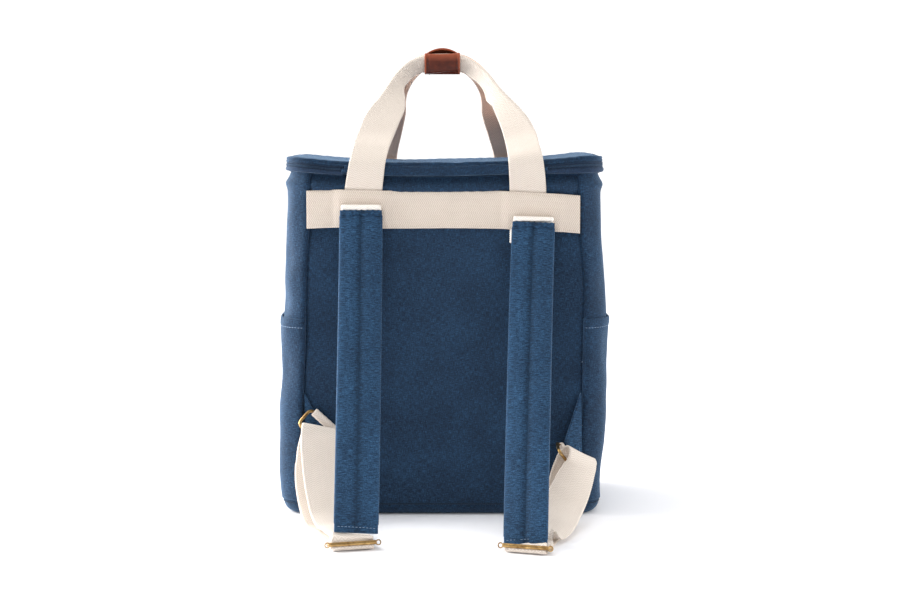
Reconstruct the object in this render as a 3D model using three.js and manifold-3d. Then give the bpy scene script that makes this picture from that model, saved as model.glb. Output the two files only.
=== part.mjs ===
// A soft cooler backpack standing on its base, seen from its harness side (-Y).
// Millimetres, +Z up, +X to the right of the harness side. The origin is the centre of the base
// on the floor. The lid is zipped shut, and both shoulder straps lean out to the floor.

import * as THREE from "three";
import { mergeVertices } from "three/addons/utils/BufferGeometryUtils.js";
import Module from "manifold-3d";

const wasm = await Module();
wasm.setup();

// Body
const body_width = 330;
const body_depth = 180;
const body_height = 344;
const body_wall = 6;
const corner_radius = 25;
const base_rounding = 12;
const fit_gap = 0.3;

// Lid and its zip
const lid_rise = 13;
const lid_edge_height = 6;
const lid_overhang = 1.2;
const lid_padding = 8;
const lid_sag = 7;
const lid_left_lift = 3;
const lid_right_lift = 5;
const lid_front_droop = 3.5;
const zip_band_thickness = 2.5;
const zip_band_recess = 0.5;
const hinge_recess = 1.3;
const zip_coil_height = 5;
const zip_coil_thickness = 2;
const zip_end_width = 4;
const zip_end_margin = 1;
const zip_slider_width = 9;
const zip_slider_thickness = 3;
const zip_slider_spacing = 11;
const zip_pull_length = 24;
const zip_pull_thickness = 1.5;

// Side pockets and base piping
const pocket_height = 201;
const pocket_thickness = 1.5;
const piping_thickness = 2.4;

// Webbing
const band_width = 38;
const band_drop = 33;
const adjuster_width = 40;
const webbing_thickness = 1.8;

// Carrying handles and the leather wrap that joins them
const handle_spread = 163;
const front_handle_spread = 144;
const handle_rise = 126;
const handle_crest = 1.152;
const handle_twist = 0.45;
const folded_width = 16;
const folded_thickness = 4;
const wrap_length = 36.6;
const wrap_height = 20.6;
const wrap_wall = 1.8;
const wrap_arch = 4;
const wrap_back_arch = 1.2;
const wrap_offset = -3;
const wrap_room = 1.5;

// Shoulder straps
const strap_width = 43;
const strap_padding = 8;
const strap_hem_thickness = 4.6;
const strap_spacing = 172;
const strap_reach = 150;
const anchor_drop = 12;
const anchor_fold_height = 5.6;

// Wire hardware
const ring_length = 43.5;
const ring_depth = 20.5;
const ring_corner = 5;
const wire_diameter = 3.2;
const slider_length = 49;
const slider_depth = 14;
const slider_height = 5.6;
const slider_corner = 3;
const slider_pitch = 13;
const eye_radius = 2.56;
const eye_wire_diameter = 2.56;
const ring_height = 90;
const keeper_width = 8.6;
const keeper_depth = 7;
const keeper_wall = 1.5;
const keeper_length = 35.5;
const tab_height = 72;
const tab_reach = 21.6;
const tab_tip_drop = 5.8;
const tab_thickness = 2.5;

const half_width = body_width / 2;
const half_depth = body_depth / 2;
const panel_y = -half_depth;
const rim_height = body_height + lid_rise;
const band_centre_height = body_height - band_drop;

const fabric = { color: 0x37516d, roughness: 0.9, metalness: 0 };
const dark_fabric = { color: 0x1e2d40, roughness: 0.9, metalness: 0 };
const strap_fabric = { color: 0x3f628a, roughness: 0.9, metalness: 0 };
const cotton = { color: 0xe6dccd, roughness: 0.95, metalness: 0 };
const leather = { color: 0x7b3f2b, roughness: 0.6, metalness: 0 };
const brass = { color: 0xa07c48, roughness: 0.35, metalness: 1 };

const object = new THREE.Group();

// Mesh building

function signedVolume(points, faces) {
  let sum = 0;
  for (const [a, b, c] of faces) {
    sum += points[a].dot(new THREE.Vector3().crossVectors(points[b], points[c])) / 6;
  }
  return sum;
}

function geometryOf(points, faces) {
  const outward = signedVolume(points, faces) > 0;
  const order = outward ? faces : faces.map(([a, b, c]) => [a, c, b]);
  const geometry = new THREE.BufferGeometry();
  geometry.setAttribute(
    "position",
    new THREE.Float32BufferAttribute(points.flatMap((p) => [p.x, p.y, p.z]), 3),
  );
  geometry.setIndex(order.flat());
  return geometry;
}

// Skin through rings of equal count. A closed skin joins its last ring to its first, and an open
// one is capped at both ends. In a thin strip, the two broad faces are split the same way, so that
// they stay parallel where it twists.
function loft(rings, closed = false, thin = false) {
  const count = rings[0].length;
  const points = rings.flat();
  const faces = [];
  const spans = closed ? rings.length : rings.length - 1;
  for (let i = 0; i < spans; i++) {
    const low = i * count;
    const high = ((i + 1) % rings.length) * count;
    for (let j = 0; j < count; j++) {
      const next = (j + 1) % count;
      const far_face = thin && j >= count / 2;
      faces.push([low + j, low + next, far_face ? high + j : high + next]);
      faces.push([far_face ? low + next : low + j, high + next, high + j]);
    }
  }
  if (!closed) {
    capRing(points, faces, 0, count, false);
    capRing(points, faces, (rings.length - 1) * count, count, true);
  }
  return geometryOf(points, faces);
}

function capRing(points, faces, start, count, last) {
  const middle = new THREE.Vector3();
  for (let j = 0; j < count; j++) {
    middle.addScaledVector(points[start + j], 1 / count);
  }
  const centre = points.push(middle) - 1;
  for (let j = 0; j < count; j++) {
    const next = (j + 1) % count;
    faces.push(last ? [start + j, start + next, centre] : [start + next, start + j, centre]);
  }
}

function addPiece(name, geometry, finish) {
  geometry.computeVertexNormals();
  const mesh = new THREE.Mesh(geometry, new THREE.MeshStandardMaterial(finish));
  mesh.name = name;
  object.add(mesh);
}

function solidOf(geometry) {
  const bare = geometry.clone();
  bare.deleteAttribute("normal");
  bare.deleteAttribute("uv");
  const merged = mergeVertices(bare, 1e-4);
  return new wasm.Manifold(
    new wasm.Mesh({
      numProp: 3,
      vertProperties: new Float32Array(merged.attributes.position.array),
      triVerts: new Uint32Array(merged.index.array),
    }),
  );
}

function joined(geometries) {
  const whole = geometries.map(solidOf).reduce((a, b) => a.add(b));
  const mesh = whole.getMesh();
  const geometry = new THREE.BufferGeometry();
  geometry.setAttribute("position", new THREE.BufferAttribute(mesh.vertProperties, 3));
  geometry.setIndex(new THREE.BufferAttribute(mesh.triVerts, 1));
  return geometry;
}

function mix(a, b, share) {
  return a + (b - a) * share;
}

// Value of one column of a table at a place, straight between its rows
function lookUp(table, place, column) {
  const rows = [...table].sort((a, b) => a.at - b.at);
  if (place <= rows[0].at) {
    return rows[0][column];
  }
  for (let i = 1; i < rows.length; i++) {
    if (place <= rows[i].at) {
      const share = (place - rows[i - 1].at) / (rows[i].at - rows[i - 1].at);
      return mix(rows[i - 1][column], rows[i][column], share);
    }
  }
  return rows[rows.length - 1][column];
}

// Body outline. Each row is a level: its height is a share of the body's, the reach of the left
// and right sides is a share of half the width, and that of the back and front a share of half
// the depth. The foot rounds in below the second row.
const body_levels = [
  { at: 0.024, left: 1.004, right: 0.958, back: 1, front: 1 },
  { at: 0.097, left: 1.015, right: 0.956, back: 1, front: 1.012 },
  { at: 0.21, left: 1.018, right: 0.975, back: 1, front: 1.026 },
  { at: 0.32, left: 1.016, right: 0.99, back: 1, front: 1.036 },
  { at: 0.43, left: 1.008, right: 0.992, back: 1, front: 1.04 },
  { at: 0.5, left: 1.0, right: 0.993, back: 1, front: 1.038 },
  { at: 0.584, left: 0.996, right: 0.994, back: 1, front: 1.034 },
  { at: 0.7, left: 0.99, right: 0.995, back: 1, front: 1.024 },
  { at: 0.78, left: 0.982, right: 0.982, back: 1, front: 1.014 },
  { at: 0.87, left: 0.969, right: 0.966, back: 1, front: 1.004 },
  { at: 0.96, left: 0.966, right: 0.958, back: 1, front: 0.998 },
  { at: 1, left: 0.964, right: 0.956, back: 0.998, front: 0.996 },
];

// Soft dents of the side panels. Height is a share of the body's, along a share of half the depth
// from the middle, the two sizes are shares of the body's height and half depth, and depth is in
// walls of the body.
const side_dents = [
  { side: 1, at: 0.8, along: -0.62, tall: 0.1, long: 0.3, depth: 0.5 },
  { side: 1, at: 0.68, along: -0.2, tall: 0.07, long: 0.5, depth: 0.6 },
  { side: 1, at: 0.35, along: 0.3, tall: 0.12, long: 0.5, depth: 0.45 },
  { side: -1, at: 0.72, along: 0.1, tall: 0.1, long: 0.6, depth: 0.5 },
  { side: -1, at: 0.41, along: -0.5, tall: 0.06, long: 0.3, depth: 0.55 },
  { side: -1, at: 0.2, along: 0.35, tall: 0.1, long: 0.5, depth: 0.4 },
];

const corner_steps = 5;
const long_side_steps = 6;
const short_side_steps = 5;

function sideDent(x, y, level) {
  let inward = 0;
  for (const dent of side_dents) {
    if (Math.sign(x) !== dent.side || Math.abs(x) < half_width - corner_radius) {
      continue;
    }
    const up = (level - dent.at) / dent.tall;
    const along = (y / half_depth - dent.along) / dent.long;
    inward += dent.depth * body_wall * Math.exp(-up * up - along * along);
  }
  return -Math.sign(x) * inward;
}

// Stations round the body: 0 starts at the left end of the back panel and they run to its right
// end, round the right side, the front and the left side.
function bodyRing(height, offset = 0, inset = 0) {
  const level = height / body_height;
  const reach = (column) => lookUp(body_levels, level, column);
  const left = -half_width * reach("left") - offset + inset;
  const right = half_width * reach("right") + offset - inset;
  const back = -half_depth * reach("back") - offset + inset;
  const front = half_depth * reach("front") + offset - inset;
  const radius = Math.max(corner_radius + offset - inset, corner_radius / 4);
  const ring = [];
  const put = (x, y) => {
    const dent = sideDent(x, y, level);
    ring.push(new THREE.Vector3(x + dent, y, height));
  };
  const run = (x0, y0, x1, y1, steps) => {
    for (let i = 0; i < steps; i++) {
      put(mix(x0, x1, i / steps), mix(y0, y1, i / steps));
    }
  };
  const corner = (cx, cy, start) => {
    for (let i = 0; i < corner_steps; i++) {
      const angle = start + (Math.PI / 2) * (i / corner_steps);
      put(cx + radius * Math.cos(angle), cy + radius * Math.sin(angle));
    }
  };
  run(left + radius, back, right - radius, back, long_side_steps);
  corner(right - radius, back + radius, -Math.PI / 2);
  run(right, back + radius, right, front - radius, short_side_steps);
  corner(right - radius, front - radius, 0);
  run(right - radius, front, left + radius, front, long_side_steps);
  corner(left + radius, front - radius, Math.PI / 2);
  run(left, front - radius, left, back + radius, short_side_steps);
  corner(left + radius, back + radius, Math.PI);
  return ring;
}

const right_seam_station = long_side_steps;
const side_station_count = 2 * corner_steps + short_side_steps;
const left_seam_station = 2 * long_side_steps + side_station_count;
const station_count = 2 * (long_side_steps + side_station_count);

// Height of the lid's edge above its own level at a place on its outline
function lidLift(x, y) {
  const share = x / half_width;
  const lift = share > 0 ? lid_right_lift : lid_left_lift;
  const droop = lid_front_droop * (y / half_depth + 1) / 2;
  return lift * share * share - droop;
}

function makeBody() {
  const foot = [0, Math.PI / 6, Math.PI / 3].map((turn) => {
    const inset = base_rounding * (1 - Math.sin(turn));
    return bodyRing(base_rounding * (1 - Math.cos(turn)), 0, inset);
  });
  const levels = body_levels.slice(1).map((row) => row.at * body_height);
  const lower = bodyRing(base_rounding);
  const outside = levels.map((height) => bodyRing(height));
  const roll = body_wall / 4;
  outside[outside.length - 1] = bodyRing(body_height - roll);
  const rim = [bodyRing(body_height, 0, roll), bodyRing(body_height, 0, body_wall - roll)];
  const inner_levels = levels.filter((height, i) => i % 2 === 0).reverse();
  const inside_levels = [body_height - roll, ...inner_levels, body_wall * 2];
  const inside = inside_levels.map((height) => bodyRing(height, 0, body_wall));
  const floor = bodyRing(body_wall, 0, body_wall * 2);
  addPiece("body_shell", loft([...foot, lower, ...outside, ...rim, ...inside, floor]), fabric);
}

// A strip round part of the body: its sections run over the stations from first to last, between
// two offsets and two heights.
function wallStrip(first, last, heightOf, inner, outer) {
  const sections = [];
  const level = body_height;
  const inner_ring = bodyRing(level, inner);
  const outer_ring = bodyRing(level, outer);
  for (let i = first; i <= last; i++) {
    const a = inner_ring[i % station_count];
    const b = outer_ring[i % station_count];
    const [low, high] = heightOf(b);
    sections.push([
      new THREE.Vector3(a.x, a.y, low),
      new THREE.Vector3(b.x, b.y, low),
      new THREE.Vector3(b.x, b.y, high),
      new THREE.Vector3(a.x, a.y, high),
    ]);
  }
  return sections;
}

// Ends of the zip on the harness side, as shares of half the width
const zip_end_left = -0.613;
const zip_end_right = 0.606;

function lidUnderside(x, y) {
  return rim_height + lidLift(x, y) - lid_edge_height / 2;
}

// Section of a strip's back run at a given x, straight between its stations
function sectionAt(sections, x) {
  const i = sections.findIndex((section) => section[1].x > x);
  const before = sections[i - 1];
  const after = sections[i];
  const share = (x - before[1].x) / (after[1].x - before[1].x);
  return before.map((p, j) => {
    const point = p.clone().lerp(after[j], share);
    point.x = x;
    return point;
  });
}

// The part of a strip on the back panel between two values of x
function backRun(sections, from_x, to_x) {
  const between = sections.filter(([, p]) => p.x > from_x + fit_gap && p.x < to_x - fit_gap);
  return [sectionAt(sections, from_x), ...between, sectionAt(sections, to_x)];
}

// A strip that leaves the middle of the back free
function openStrip(sections, start_x, end_x) {
  const back = sections.slice(0, long_side_steps + 1);
  const reach = back[back.length - 1][1].x;
  const whole = { from: back[0][1].x + fit_gap / 2, to: reach - fit_gap / 2 };
  const right_part = backRun(back, start_x, whole.to).slice(0, -1);
  const left_part = backRun(back, whole.from, end_x).slice(1);
  return [...right_part, ...sections.slice(right_seam_station), ...left_part];
}

function makeLidBand() {
  const heights = (p) => [body_height + fit_gap, lidUnderside(p.x, p.y) - fit_gap];
  const outer = -zip_band_recess;
  const band = wallStrip(0, station_count, heights, outer - zip_band_thickness, outer);
  const start_x = zip_end_right * half_width;
  const end_x = zip_end_left * half_width;
  addPiece("zip_band", loft(openStrip(band, start_x, end_x)), fabric);

  const coil_heights = (p) => {
    const middle = (body_height + lidUnderside(p.x, p.y)) / 2;
    return [middle - zip_coil_height / 2, middle + zip_coil_height / 2];
  };
  const coil_in = outer + fit_gap;
  const coil = wallStrip(0, station_count, coil_heights, coil_in, coil_in + zip_coil_thickness);
  const end_gap = zip_end_width / 2 + fit_gap;
  addPiece("zip_coil", loft(openStrip(coil, start_x + end_gap, end_x - end_gap)), dark_fabric);

  const inner = outer - zip_band_thickness;
  const hinge = wallStrip(0, long_side_steps, heights, inner, -hinge_recess);
  addPiece("hinge_strip", loft(backRun(hinge, end_x + fit_gap, start_x - fit_gap)), dark_fabric);

  const ends = [["zip_end_left", end_x], ["zip_end_right", start_x]];
  for (const [name, x] of ends) {
    const y = panel_y - outer - fit_gap;
    const thickness = zip_coil_thickness;
    const low = body_height + fit_gap + zip_end_margin;
    const high = lidUnderside(x, panel_y) - fit_gap - zip_end_margin;
    const box = new THREE.BoxGeometry(zip_end_width, thickness, high - low);
    box.translate(x, y - thickness / 2, (low + high) / 2);
    addPiece(name, box, fabric);
  }
}

// Rings of the lid from the middle of its underside out over the edge to the middle of its top.
// Inset is in widths of the seat on the zip band, scale is the ring's size against the outline,
// rise is in half edge heights, and sag is the share of the padding's sag there.
const lid_rings = [
  { inset: 1, scale: 0.3, rise: -1.67, sag: 1 },
  { inset: 1, scale: 0.7, rise: -1.67, sag: 1 },
  { inset: 1.4, scale: 1, rise: -1.67, sag: 0.9 },
  { inset: 1, scale: 1, rise: -1, sag: 0 },
  { inset: 0.24, scale: 1, rise: -1, sag: 0 },
  { inset: 0, scale: 1, rise: 0, sag: 0 },
  { inset: 0.12, scale: 1, rise: 0.8, sag: 0 },
  { inset: 0.6, scale: 1, rise: 1, sag: 0.3 },
  { inset: 1, scale: 0.85, rise: 1, sag: 0.8 },
  { inset: 1, scale: 0.6, rise: 1, sag: 1 },
  { inset: 1, scale: 0.3, rise: 1, sag: 1 },
];

function makeLid() {
  const half_edge = lid_edge_height / 2;
  const seat = lid_overhang + 1.5 * zip_band_thickness;
  const underside = half_edge - lid_padding;
  const rings = lid_rings.map((row) =>
    bodyRing(body_height, lid_overhang, row.inset * seat).map((p) => {
      const x = p.x * row.scale;
      const y = p.y * row.scale;
      const hollow = (1 - (x / half_width) ** 2) * (1 - (y / half_depth) ** 2);
      const height = Math.max(row.rise * half_edge, underside);
      const z = rim_height + lidLift(x, y) + height - row.sag * lid_sag * hollow;
      return new THREE.Vector3(x, y, z);
    }),
  );
  addPiece("lid", loft(rings), fabric);
}

// The zip's two sliders meet in the middle of the front, each with a plain hanging pull
function makeZipSliders() {
  for (const [name, side] of [["zip_slider_left", -1], ["zip_slider_right", 1]]) {
    const x = (side * zip_slider_spacing) / 2;
    const top = lidUnderside(x, half_depth) - zip_end_margin - fit_gap;
    const band_y = half_depth * body_levels[body_levels.length - 1].front;
    const y = band_y + zip_coil_thickness + fit_gap * 2;
    const slider = new THREE.BoxGeometry(zip_slider_width, zip_slider_thickness, top - body_height);
    slider.translate(x, y + zip_slider_thickness / 2, (top + body_height) / 2);
    const pull_width = zip_slider_width / 2;
    const pull = new THREE.BoxGeometry(pull_width, zip_pull_thickness, zip_pull_length);
    const pull_top = (top + body_height) / 2;
    pull.translate(x, y + zip_slider_thickness, pull_top - zip_pull_length / 2);
    addPiece(name, joined([slider, pull]), brass);
  }
}

// A round cord in a fold of cloth, sewn round the foot's upper edge
function makeBasePiping() {
  const half = piping_thickness / 2;
  const crown = half / 2;
  const outer = fit_gap + piping_thickness;
  const rings = [
    bodyRing(base_rounding - half, fit_gap),
    bodyRing(base_rounding - crown, outer),
    bodyRing(base_rounding + crown, outer),
    bodyRing(base_rounding + half, fit_gap),
  ];
  const count = rings[0].length;
  const sections = [];
  for (let i = 0; i < count; i++) {
    sections.push(rings.map((ring) => ring[i]));
  }
  addPiece("base_piping", loft(sections, true), dark_fabric);
}

// A pocket is one flat layer over the whole side panel, from seam to seam, open along its hem
function makePocket(name, first) {
  const inner = fit_gap;
  const outer = fit_gap + pocket_thickness;
  const floor = base_rounding + piping_thickness;
  const levels = body_levels.map((row) => row.at * body_height);
  const between = levels.filter((height) => height > floor * 1.3 && height < pocket_height * 0.99);
  const heights = [floor, ...between, pocket_height];
  const rings = heights.map((height) => {
    const near = bodyRing(height, inner);
    const far = bodyRing(height, outer);
    const out = [];
    const back = [];
    for (let i = 0; i <= side_station_count; i++) {
      const station = (first + i) % station_count;
      out.push(far[station]);
      back.unshift(near[station]);
    }
    return [...out, ...back];
  });
  const count = rings[0].length;
  const points = rings.flat();
  const faces = [];
  for (let i = 0; i < rings.length - 1; i++) {
    for (let j = 0; j < count; j++) {
      const next = (j + 1) % count;
      const low = i * count;
      const high = low + count;
      if (j <= side_station_count) {
        faces.push([low + j, low + next, high + next]);
        faces.push([low + j, high + next, high + j]);
      } else {
        faces.push([low + j, low + next, high + j]);
        faces.push([low + next, high + next, high + j]);
      }
    }
  }
  for (const [start, last] of [[0, false], [(rings.length - 1) * count, true]]) {
    for (let j = 0; j < side_station_count; j++) {
      const a = start + j;
      const b = start + j + 1;
      const c = start + count - 2 - j;
      const d = start + count - 1 - j;
      faces.push(last ? [a, b, c] : [b, a, c]);
      faces.push(last ? [a, c, d] : [c, a, d]);
    }
  }
  addPiece(name, geometryOf(points, faces), fabric);
}

// A flat strip along a path. Each row has its middle, the direction across it, its width and its
// thickness.
function ribbon(rows) {
  const sections = rows.map((row, i) => {
    const before = rows[Math.max(i - 1, 0)].middle;
    const after = rows[Math.min(i + 1, rows.length - 1)].middle;
    const along = new THREE.Vector3().subVectors(after, before).normalize();
    const across = row.across.clone().addScaledVector(along, -row.across.dot(along)).normalize();
    const face = new THREE.Vector3().crossVectors(along, across);
    const corner = (u, v) =>
      row.middle
        .clone()
        .addScaledVector(across, u * row.width * 0.5)
        .addScaledVector(face, v * row.thickness * 0.5);
    return [
      corner(-1, -0.5),
      corner(-0.97, -1),
      corner(0.97, -1),
      corner(1, -0.5),
      corner(1, 0.5),
      corner(0.97, 1),
      corner(-0.97, 1),
      corner(-1, 0.5),
    ];
  });
  return loft(sections, false, true);
}

// Bands that hold the handles and straps. Rise is the height of the band's middle against its
// named height, in band widths, and over says how far it passes over the webbing under it.
const back_band_rows = [
  { at: -0.838, rise: -0.01, over: 0 },
  { at: -0.68, rise: 0.02, over: 0 },
  { at: -0.64, rise: 0.03, over: 1 },
  { at: -0.36, rise: 0.01, over: 1 },
  { at: -0.32, rise: 0.01, over: 0 },
  { at: 0.0, rise: 0.01, over: 0 },
  { at: 0.34, rise: -0.015, over: 0 },
  { at: 0.38, rise: -0.02, over: 1 },
  { at: 0.69, rise: -0.08, over: 1 },
  { at: 0.73, rise: -0.09, over: 0 },
  { at: 0.818, rise: -0.12, over: 0 },
];
const front_band_rows = [
  { at: -0.82, rise: 0, over: 0 },
  { at: -0.6, rise: 0, over: 0 },
  { at: -0.56, rise: 0, over: 1 },
  { at: -0.31, rise: 0, over: 1 },
  { at: -0.27, rise: 0, over: 0 },
  { at: 0.27, rise: 0, over: 0 },
  { at: 0.31, rise: 0, over: 1 },
  { at: 0.56, rise: 0, over: 1 },
  { at: 0.6, rise: 0, over: 0 },
  { at: 0.82, rise: 0, over: 0 },
];

// Middle of a layer of webbing that lies flat on the back (-1) or front (1) panel
function flatOnPanel(side) {
  const level = (band_centre_height - 0.6 * band_width) / body_height;
  const reach = lookUp(body_levels, level, side < 0 ? "back" : "front");
  return half_depth * reach + fit_gap + webbing_thickness / 2;
}

function bandRow(row, side) {
  const wall = flatOnPanel(side);
  const lifted = wall + row.over * (webbing_thickness + fit_gap);
  return {
    middle: new THREE.Vector3(
      row.at * half_width,
      side * lifted,
      band_centre_height + row.rise * band_width,
    ),
    across: new THREE.Vector3(0, 0, 1),
    width: band_width,
    thickness: webbing_thickness,
  };
}

// Handles. Side is a share of half the spread, up a share of the rise above the band's middle,
// lean how far the strip has come in from the panel to the middle of the bag, wide how much of
// its width it keeps while it folds lengthwise for the wrap.
const back_handle_rows = [
  { side: -1.0, up: 0.04, lean: 0, wide: 1 },
  { side: -1.0, up: 0.17, lean: 0, wide: 1 },
  { side: -0.99, up: 0.25, lean: -0.026, wide: 1 },
  { side: -0.96, up: 0.42, lean: -0.02, wide: 1 },
  { side: -0.93, up: 0.47, lean: 0.06, wide: 0.98 },
  { side: -0.86, up: 0.53, lean: 0.22, wide: 0.92 },
  { side: -0.76, up: 0.65, lean: 0.36, wide: 0.84 },
  { side: -0.68, up: 0.76, lean: 0.49, wide: 0.6 },
  { side: -0.63, up: 0.86, lean: 0.62, wide: 0.3 },
  { side: -0.56, up: 0.97, lean: 0.76, wide: 0.1 },
  { side: -0.46, up: 1.06, lean: 0.89, wide: 0.04 },
  { side: -0.29, up: 1.147, lean: 1, wide: 0 },
  { side: -0.04, up: 1.155, lean: 1, wide: 0 },
  { side: 0.21, up: 1.148, lean: 1, wide: 0 },
  { side: 0.37, up: 1.1, lean: 0.93, wide: 0.02 },
  { side: 0.5, up: 1.0, lean: 0.81, wide: 0.08 },
  { side: 0.61, up: 0.89, lean: 0.66, wide: 0.25 },
  { side: 0.72, up: 0.79, lean: 0.52, wide: 0.55 },
  { side: 0.86, up: 0.67, lean: 0.37, wide: 0.82 },
  { side: 0.945, up: 0.54, lean: 0.22, wide: 0.92 },
  { side: 0.98, up: 0.47, lean: 0.06, wide: 0.98 },
  { side: 0.995, up: 0.42, lean: -0.02, wide: 1 },
  { side: 1.01, up: 0.25, lean: -0.026, wide: 1 },
  { side: 1.01, up: 0.17, lean: 0, wide: 1 },
  { side: 1.01, up: 0.04, lean: 0, wide: 1 },
];
const front_handle_rows = [
  { side: -1.0, up: 0.04, lean: 0, wide: 1 },
  { side: -1.0, up: 0.17, lean: 0, wide: 1 },
  { side: -1.0, up: 0.25, lean: -0.02, wide: 1 },
  { side: -0.99, up: 0.38, lean: -0.016, wide: 1 },
  { side: -0.97, up: 0.45, lean: 0.08, wide: 0.98 },
  { side: -0.9, up: 0.59, lean: 0.27, wide: 0.88 },
  { side: -0.83, up: 0.72, lean: 0.43, wide: 0.7 },
  { side: -0.76, up: 0.84, lean: 0.57, wide: 0.4 },
  { side: -0.66, up: 0.96, lean: 0.72, wide: 0.15 },
  { side: -0.52, up: 1.07, lean: 0.87, wide: 0.05 },
  { side: -0.33, up: 1.145, lean: 1, wide: 0 },
  { side: -0.04, up: 1.16, lean: 1, wide: 0 },
  { side: 0.24, up: 1.15, lean: 1, wide: 0 },
  { side: 0.44, up: 1.08, lean: 0.89, wide: 0.04 },
  { side: 0.6, up: 0.97, lean: 0.74, wide: 0.14 },
  { side: 0.71, up: 0.85, lean: 0.58, wide: 0.4 },
  { side: 0.79, up: 0.72, lean: 0.43, wide: 0.7 },
  { side: 0.88, up: 0.59, lean: 0.27, wide: 0.88 },
  { side: 0.965, up: 0.45, lean: 0.08, wide: 0.98 },
  { side: 0.99, up: 0.38, lean: -0.016, wide: 1 },
  { side: 1.0, up: 0.25, lean: -0.02, wide: 1 },
  { side: 1.0, up: 0.17, lean: 0, wide: 1 },
  { side: 1.0, up: 0.04, lean: 0, wide: 1 },
];

function makeHandle(name, table, spread, side) {
  const foot = flatOnPanel(side);
  const top = folded_thickness / 2 + fit_gap;
  const places = table.map(
    (row) =>
      new THREE.Vector3(
        (row.side * spread) / 2,
        side * mix(foot, top, row.lean),
        band_centre_height + row.up * handle_rise,
      ),
  );
  const rows = table.map((row, i) => {
    const before = places[Math.max(i - 1, 0)];
    const after = places[Math.min(i + 1, places.length - 1)];
    const along = new THREE.Vector3().subVectors(after, before).normalize();
    const face = new THREE.Vector3(0, side, handle_twist * Math.sin(Math.PI * row.lean));
    return {
      middle: places[i],
      across: new THREE.Vector3().crossVectors(along, face).normalize(),
      width: mix(folded_width, band_width, row.wide),
      thickness: mix(folded_thickness, webbing_thickness, row.wide),
    };
  });
  addPiece(name, ribbon(rows), cotton);
}

// The wrap is a band of leather round both folded handles. Its back stands in an arch, its front
// is straight.
function makeWrap() {
  const centre_height = band_centre_height + handle_crest * handle_rise;
  const inner_half_depth = folded_thickness + wrap_room;
  const inner_half_height = wrap_height / 2;
  const sides = 14;
  const squareness = 0.5;
  const squared = (value) => Math.sign(value) * Math.abs(value) ** squareness;
  const oval = (x, half_y, half_z, lift) => {
    const ring = [];
    for (let i = 0; i < sides; i++) {
      const angle = (2 * Math.PI * (i + 0.5)) / sides;
      const back = Math.cos(angle);
      const up = Math.sin(angle);
      const arch = back > 0 ? 1 : wrap_back_arch / wrap_arch;
      const rise = half_z * squared(up) + lift * arch * Math.max(up, 0);
      ring.push(new THREE.Vector3(x, half_y * squared(back), centre_height + rise));
    }
    return ring;
  };
  const outer = [];
  const inner = [];
  const steps = 4;
  for (let i = 0; i <= steps; i++) {
    const share = i / steps;
    const x = wrap_offset + wrap_length * (share - 0.5);
    const lift = wrap_arch * Math.sin(Math.PI * share);
    outer.push(oval(x, inner_half_depth + wrap_wall, inner_half_height + wrap_wall, lift));
    inner.unshift(oval(x, inner_half_depth, inner_half_height, 0));
  }
  addPiece("handle_wrap", loft([...outer, ...inner], true), leather);
}

// Shoulder straps. Down is a share of the drop from the strap's top to its end, lean a share of
// its reach in front of the panel, and full is 0 at the sewn hems and 1 where the padding is full.
const strap_rows = [
  { down: 0, lean: 0, full: 0.06 },
  { down: 0.025, lean: 0.002, full: 0.65 },
  { down: 0.09, lean: 0.04, full: 1 },
  { down: 0.22, lean: 0.14, full: 1 },
  { down: 0.38, lean: 0.29, full: 1 },
  { down: 0.55, lean: 0.47, full: 1 },
  { down: 0.72, lean: 0.66, full: 1 },
  { down: 0.87, lean: 0.84, full: 1 },
  { down: 0.96, lean: 0.95, full: 0.76 },
  { down: 1, lean: 1, full: 0 },
];

// Section of the padded strap, in shares of half its width and half its thickness, with the
// shallow valley of the seam down its middle
const strap_section = [
  { across: -1, out: 0.3 },
  { across: -0.93, out: 0.72 },
  { across: -0.5, out: 1 },
  { across: -0.12, out: 0.9 },
  { across: 0, out: 0.72 },
  { across: 0.12, out: 0.9 },
  { across: 0.5, out: 1 },
  { across: 0.93, out: 0.72 },
  { across: 1, out: 0.3 },
  { across: 1, out: -0.3 },
  { across: 0.93, out: -0.72 },
  { across: 0.5, out: -0.95 },
  { across: 0, out: -0.9 },
  { across: -0.5, out: -0.95 },
  { across: -0.93, out: -0.72 },
  { across: -1, out: -0.3 },
];

// Side and end side are shares of half the strap spacing. Top is the height of the strap's top
// against the band's middle in band widths, end the height of its end in slider heights, reach a
// share of the named one, and anchor shift in strap widths. The turns are in degrees.
const strap_sides = {
  left: {
    side: -0.972, end_side: -0.972, top: 0, end: 3.214, reach: 0.98,
    turn: 13, top_turn: 0, tilt: 0, anchor_shift: 0,
  },
  right: {
    side: 1.026, end_side: 0.882, top: -0.31, end: 1.929, reach: 1.062,
    turn: -18, top_turn: -1, tilt: 2.6, anchor_shift: -0.081,
  },
};

function acrossOf(yaw, dip = 0) {
  const turn = THREE.MathUtils.degToRad(yaw);
  const fall = THREE.MathUtils.degToRad(dip);
  return new THREE.Vector3(
    Math.cos(fall) * Math.cos(turn),
    Math.cos(fall) * Math.sin(turn),
    -Math.sin(fall),
  );
}

// Middle of the webbing layer in front of the band, where the anchors go up
function anchorFrontY() {
  return -flatOnPanel(-1) - 2 * (webbing_thickness + fit_gap);
}

function strapTopY() {
  return anchorFrontY() - webbing_thickness / 2 - strap_padding / 2 - 2 * fit_gap;
}

function strapLine(key) {
  const side = strap_sides[key];
  const top = new THREE.Vector3(
    (side.side * strap_spacing) / 2,
    strapTopY(),
    band_centre_height + side.top * band_width,
  );
  const end = new THREE.Vector3(
    (side.end_side * strap_spacing) / 2,
    panel_y - side.reach * strap_reach,
    side.end * slider_height,
  );
  return { side, top, end };
}

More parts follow.
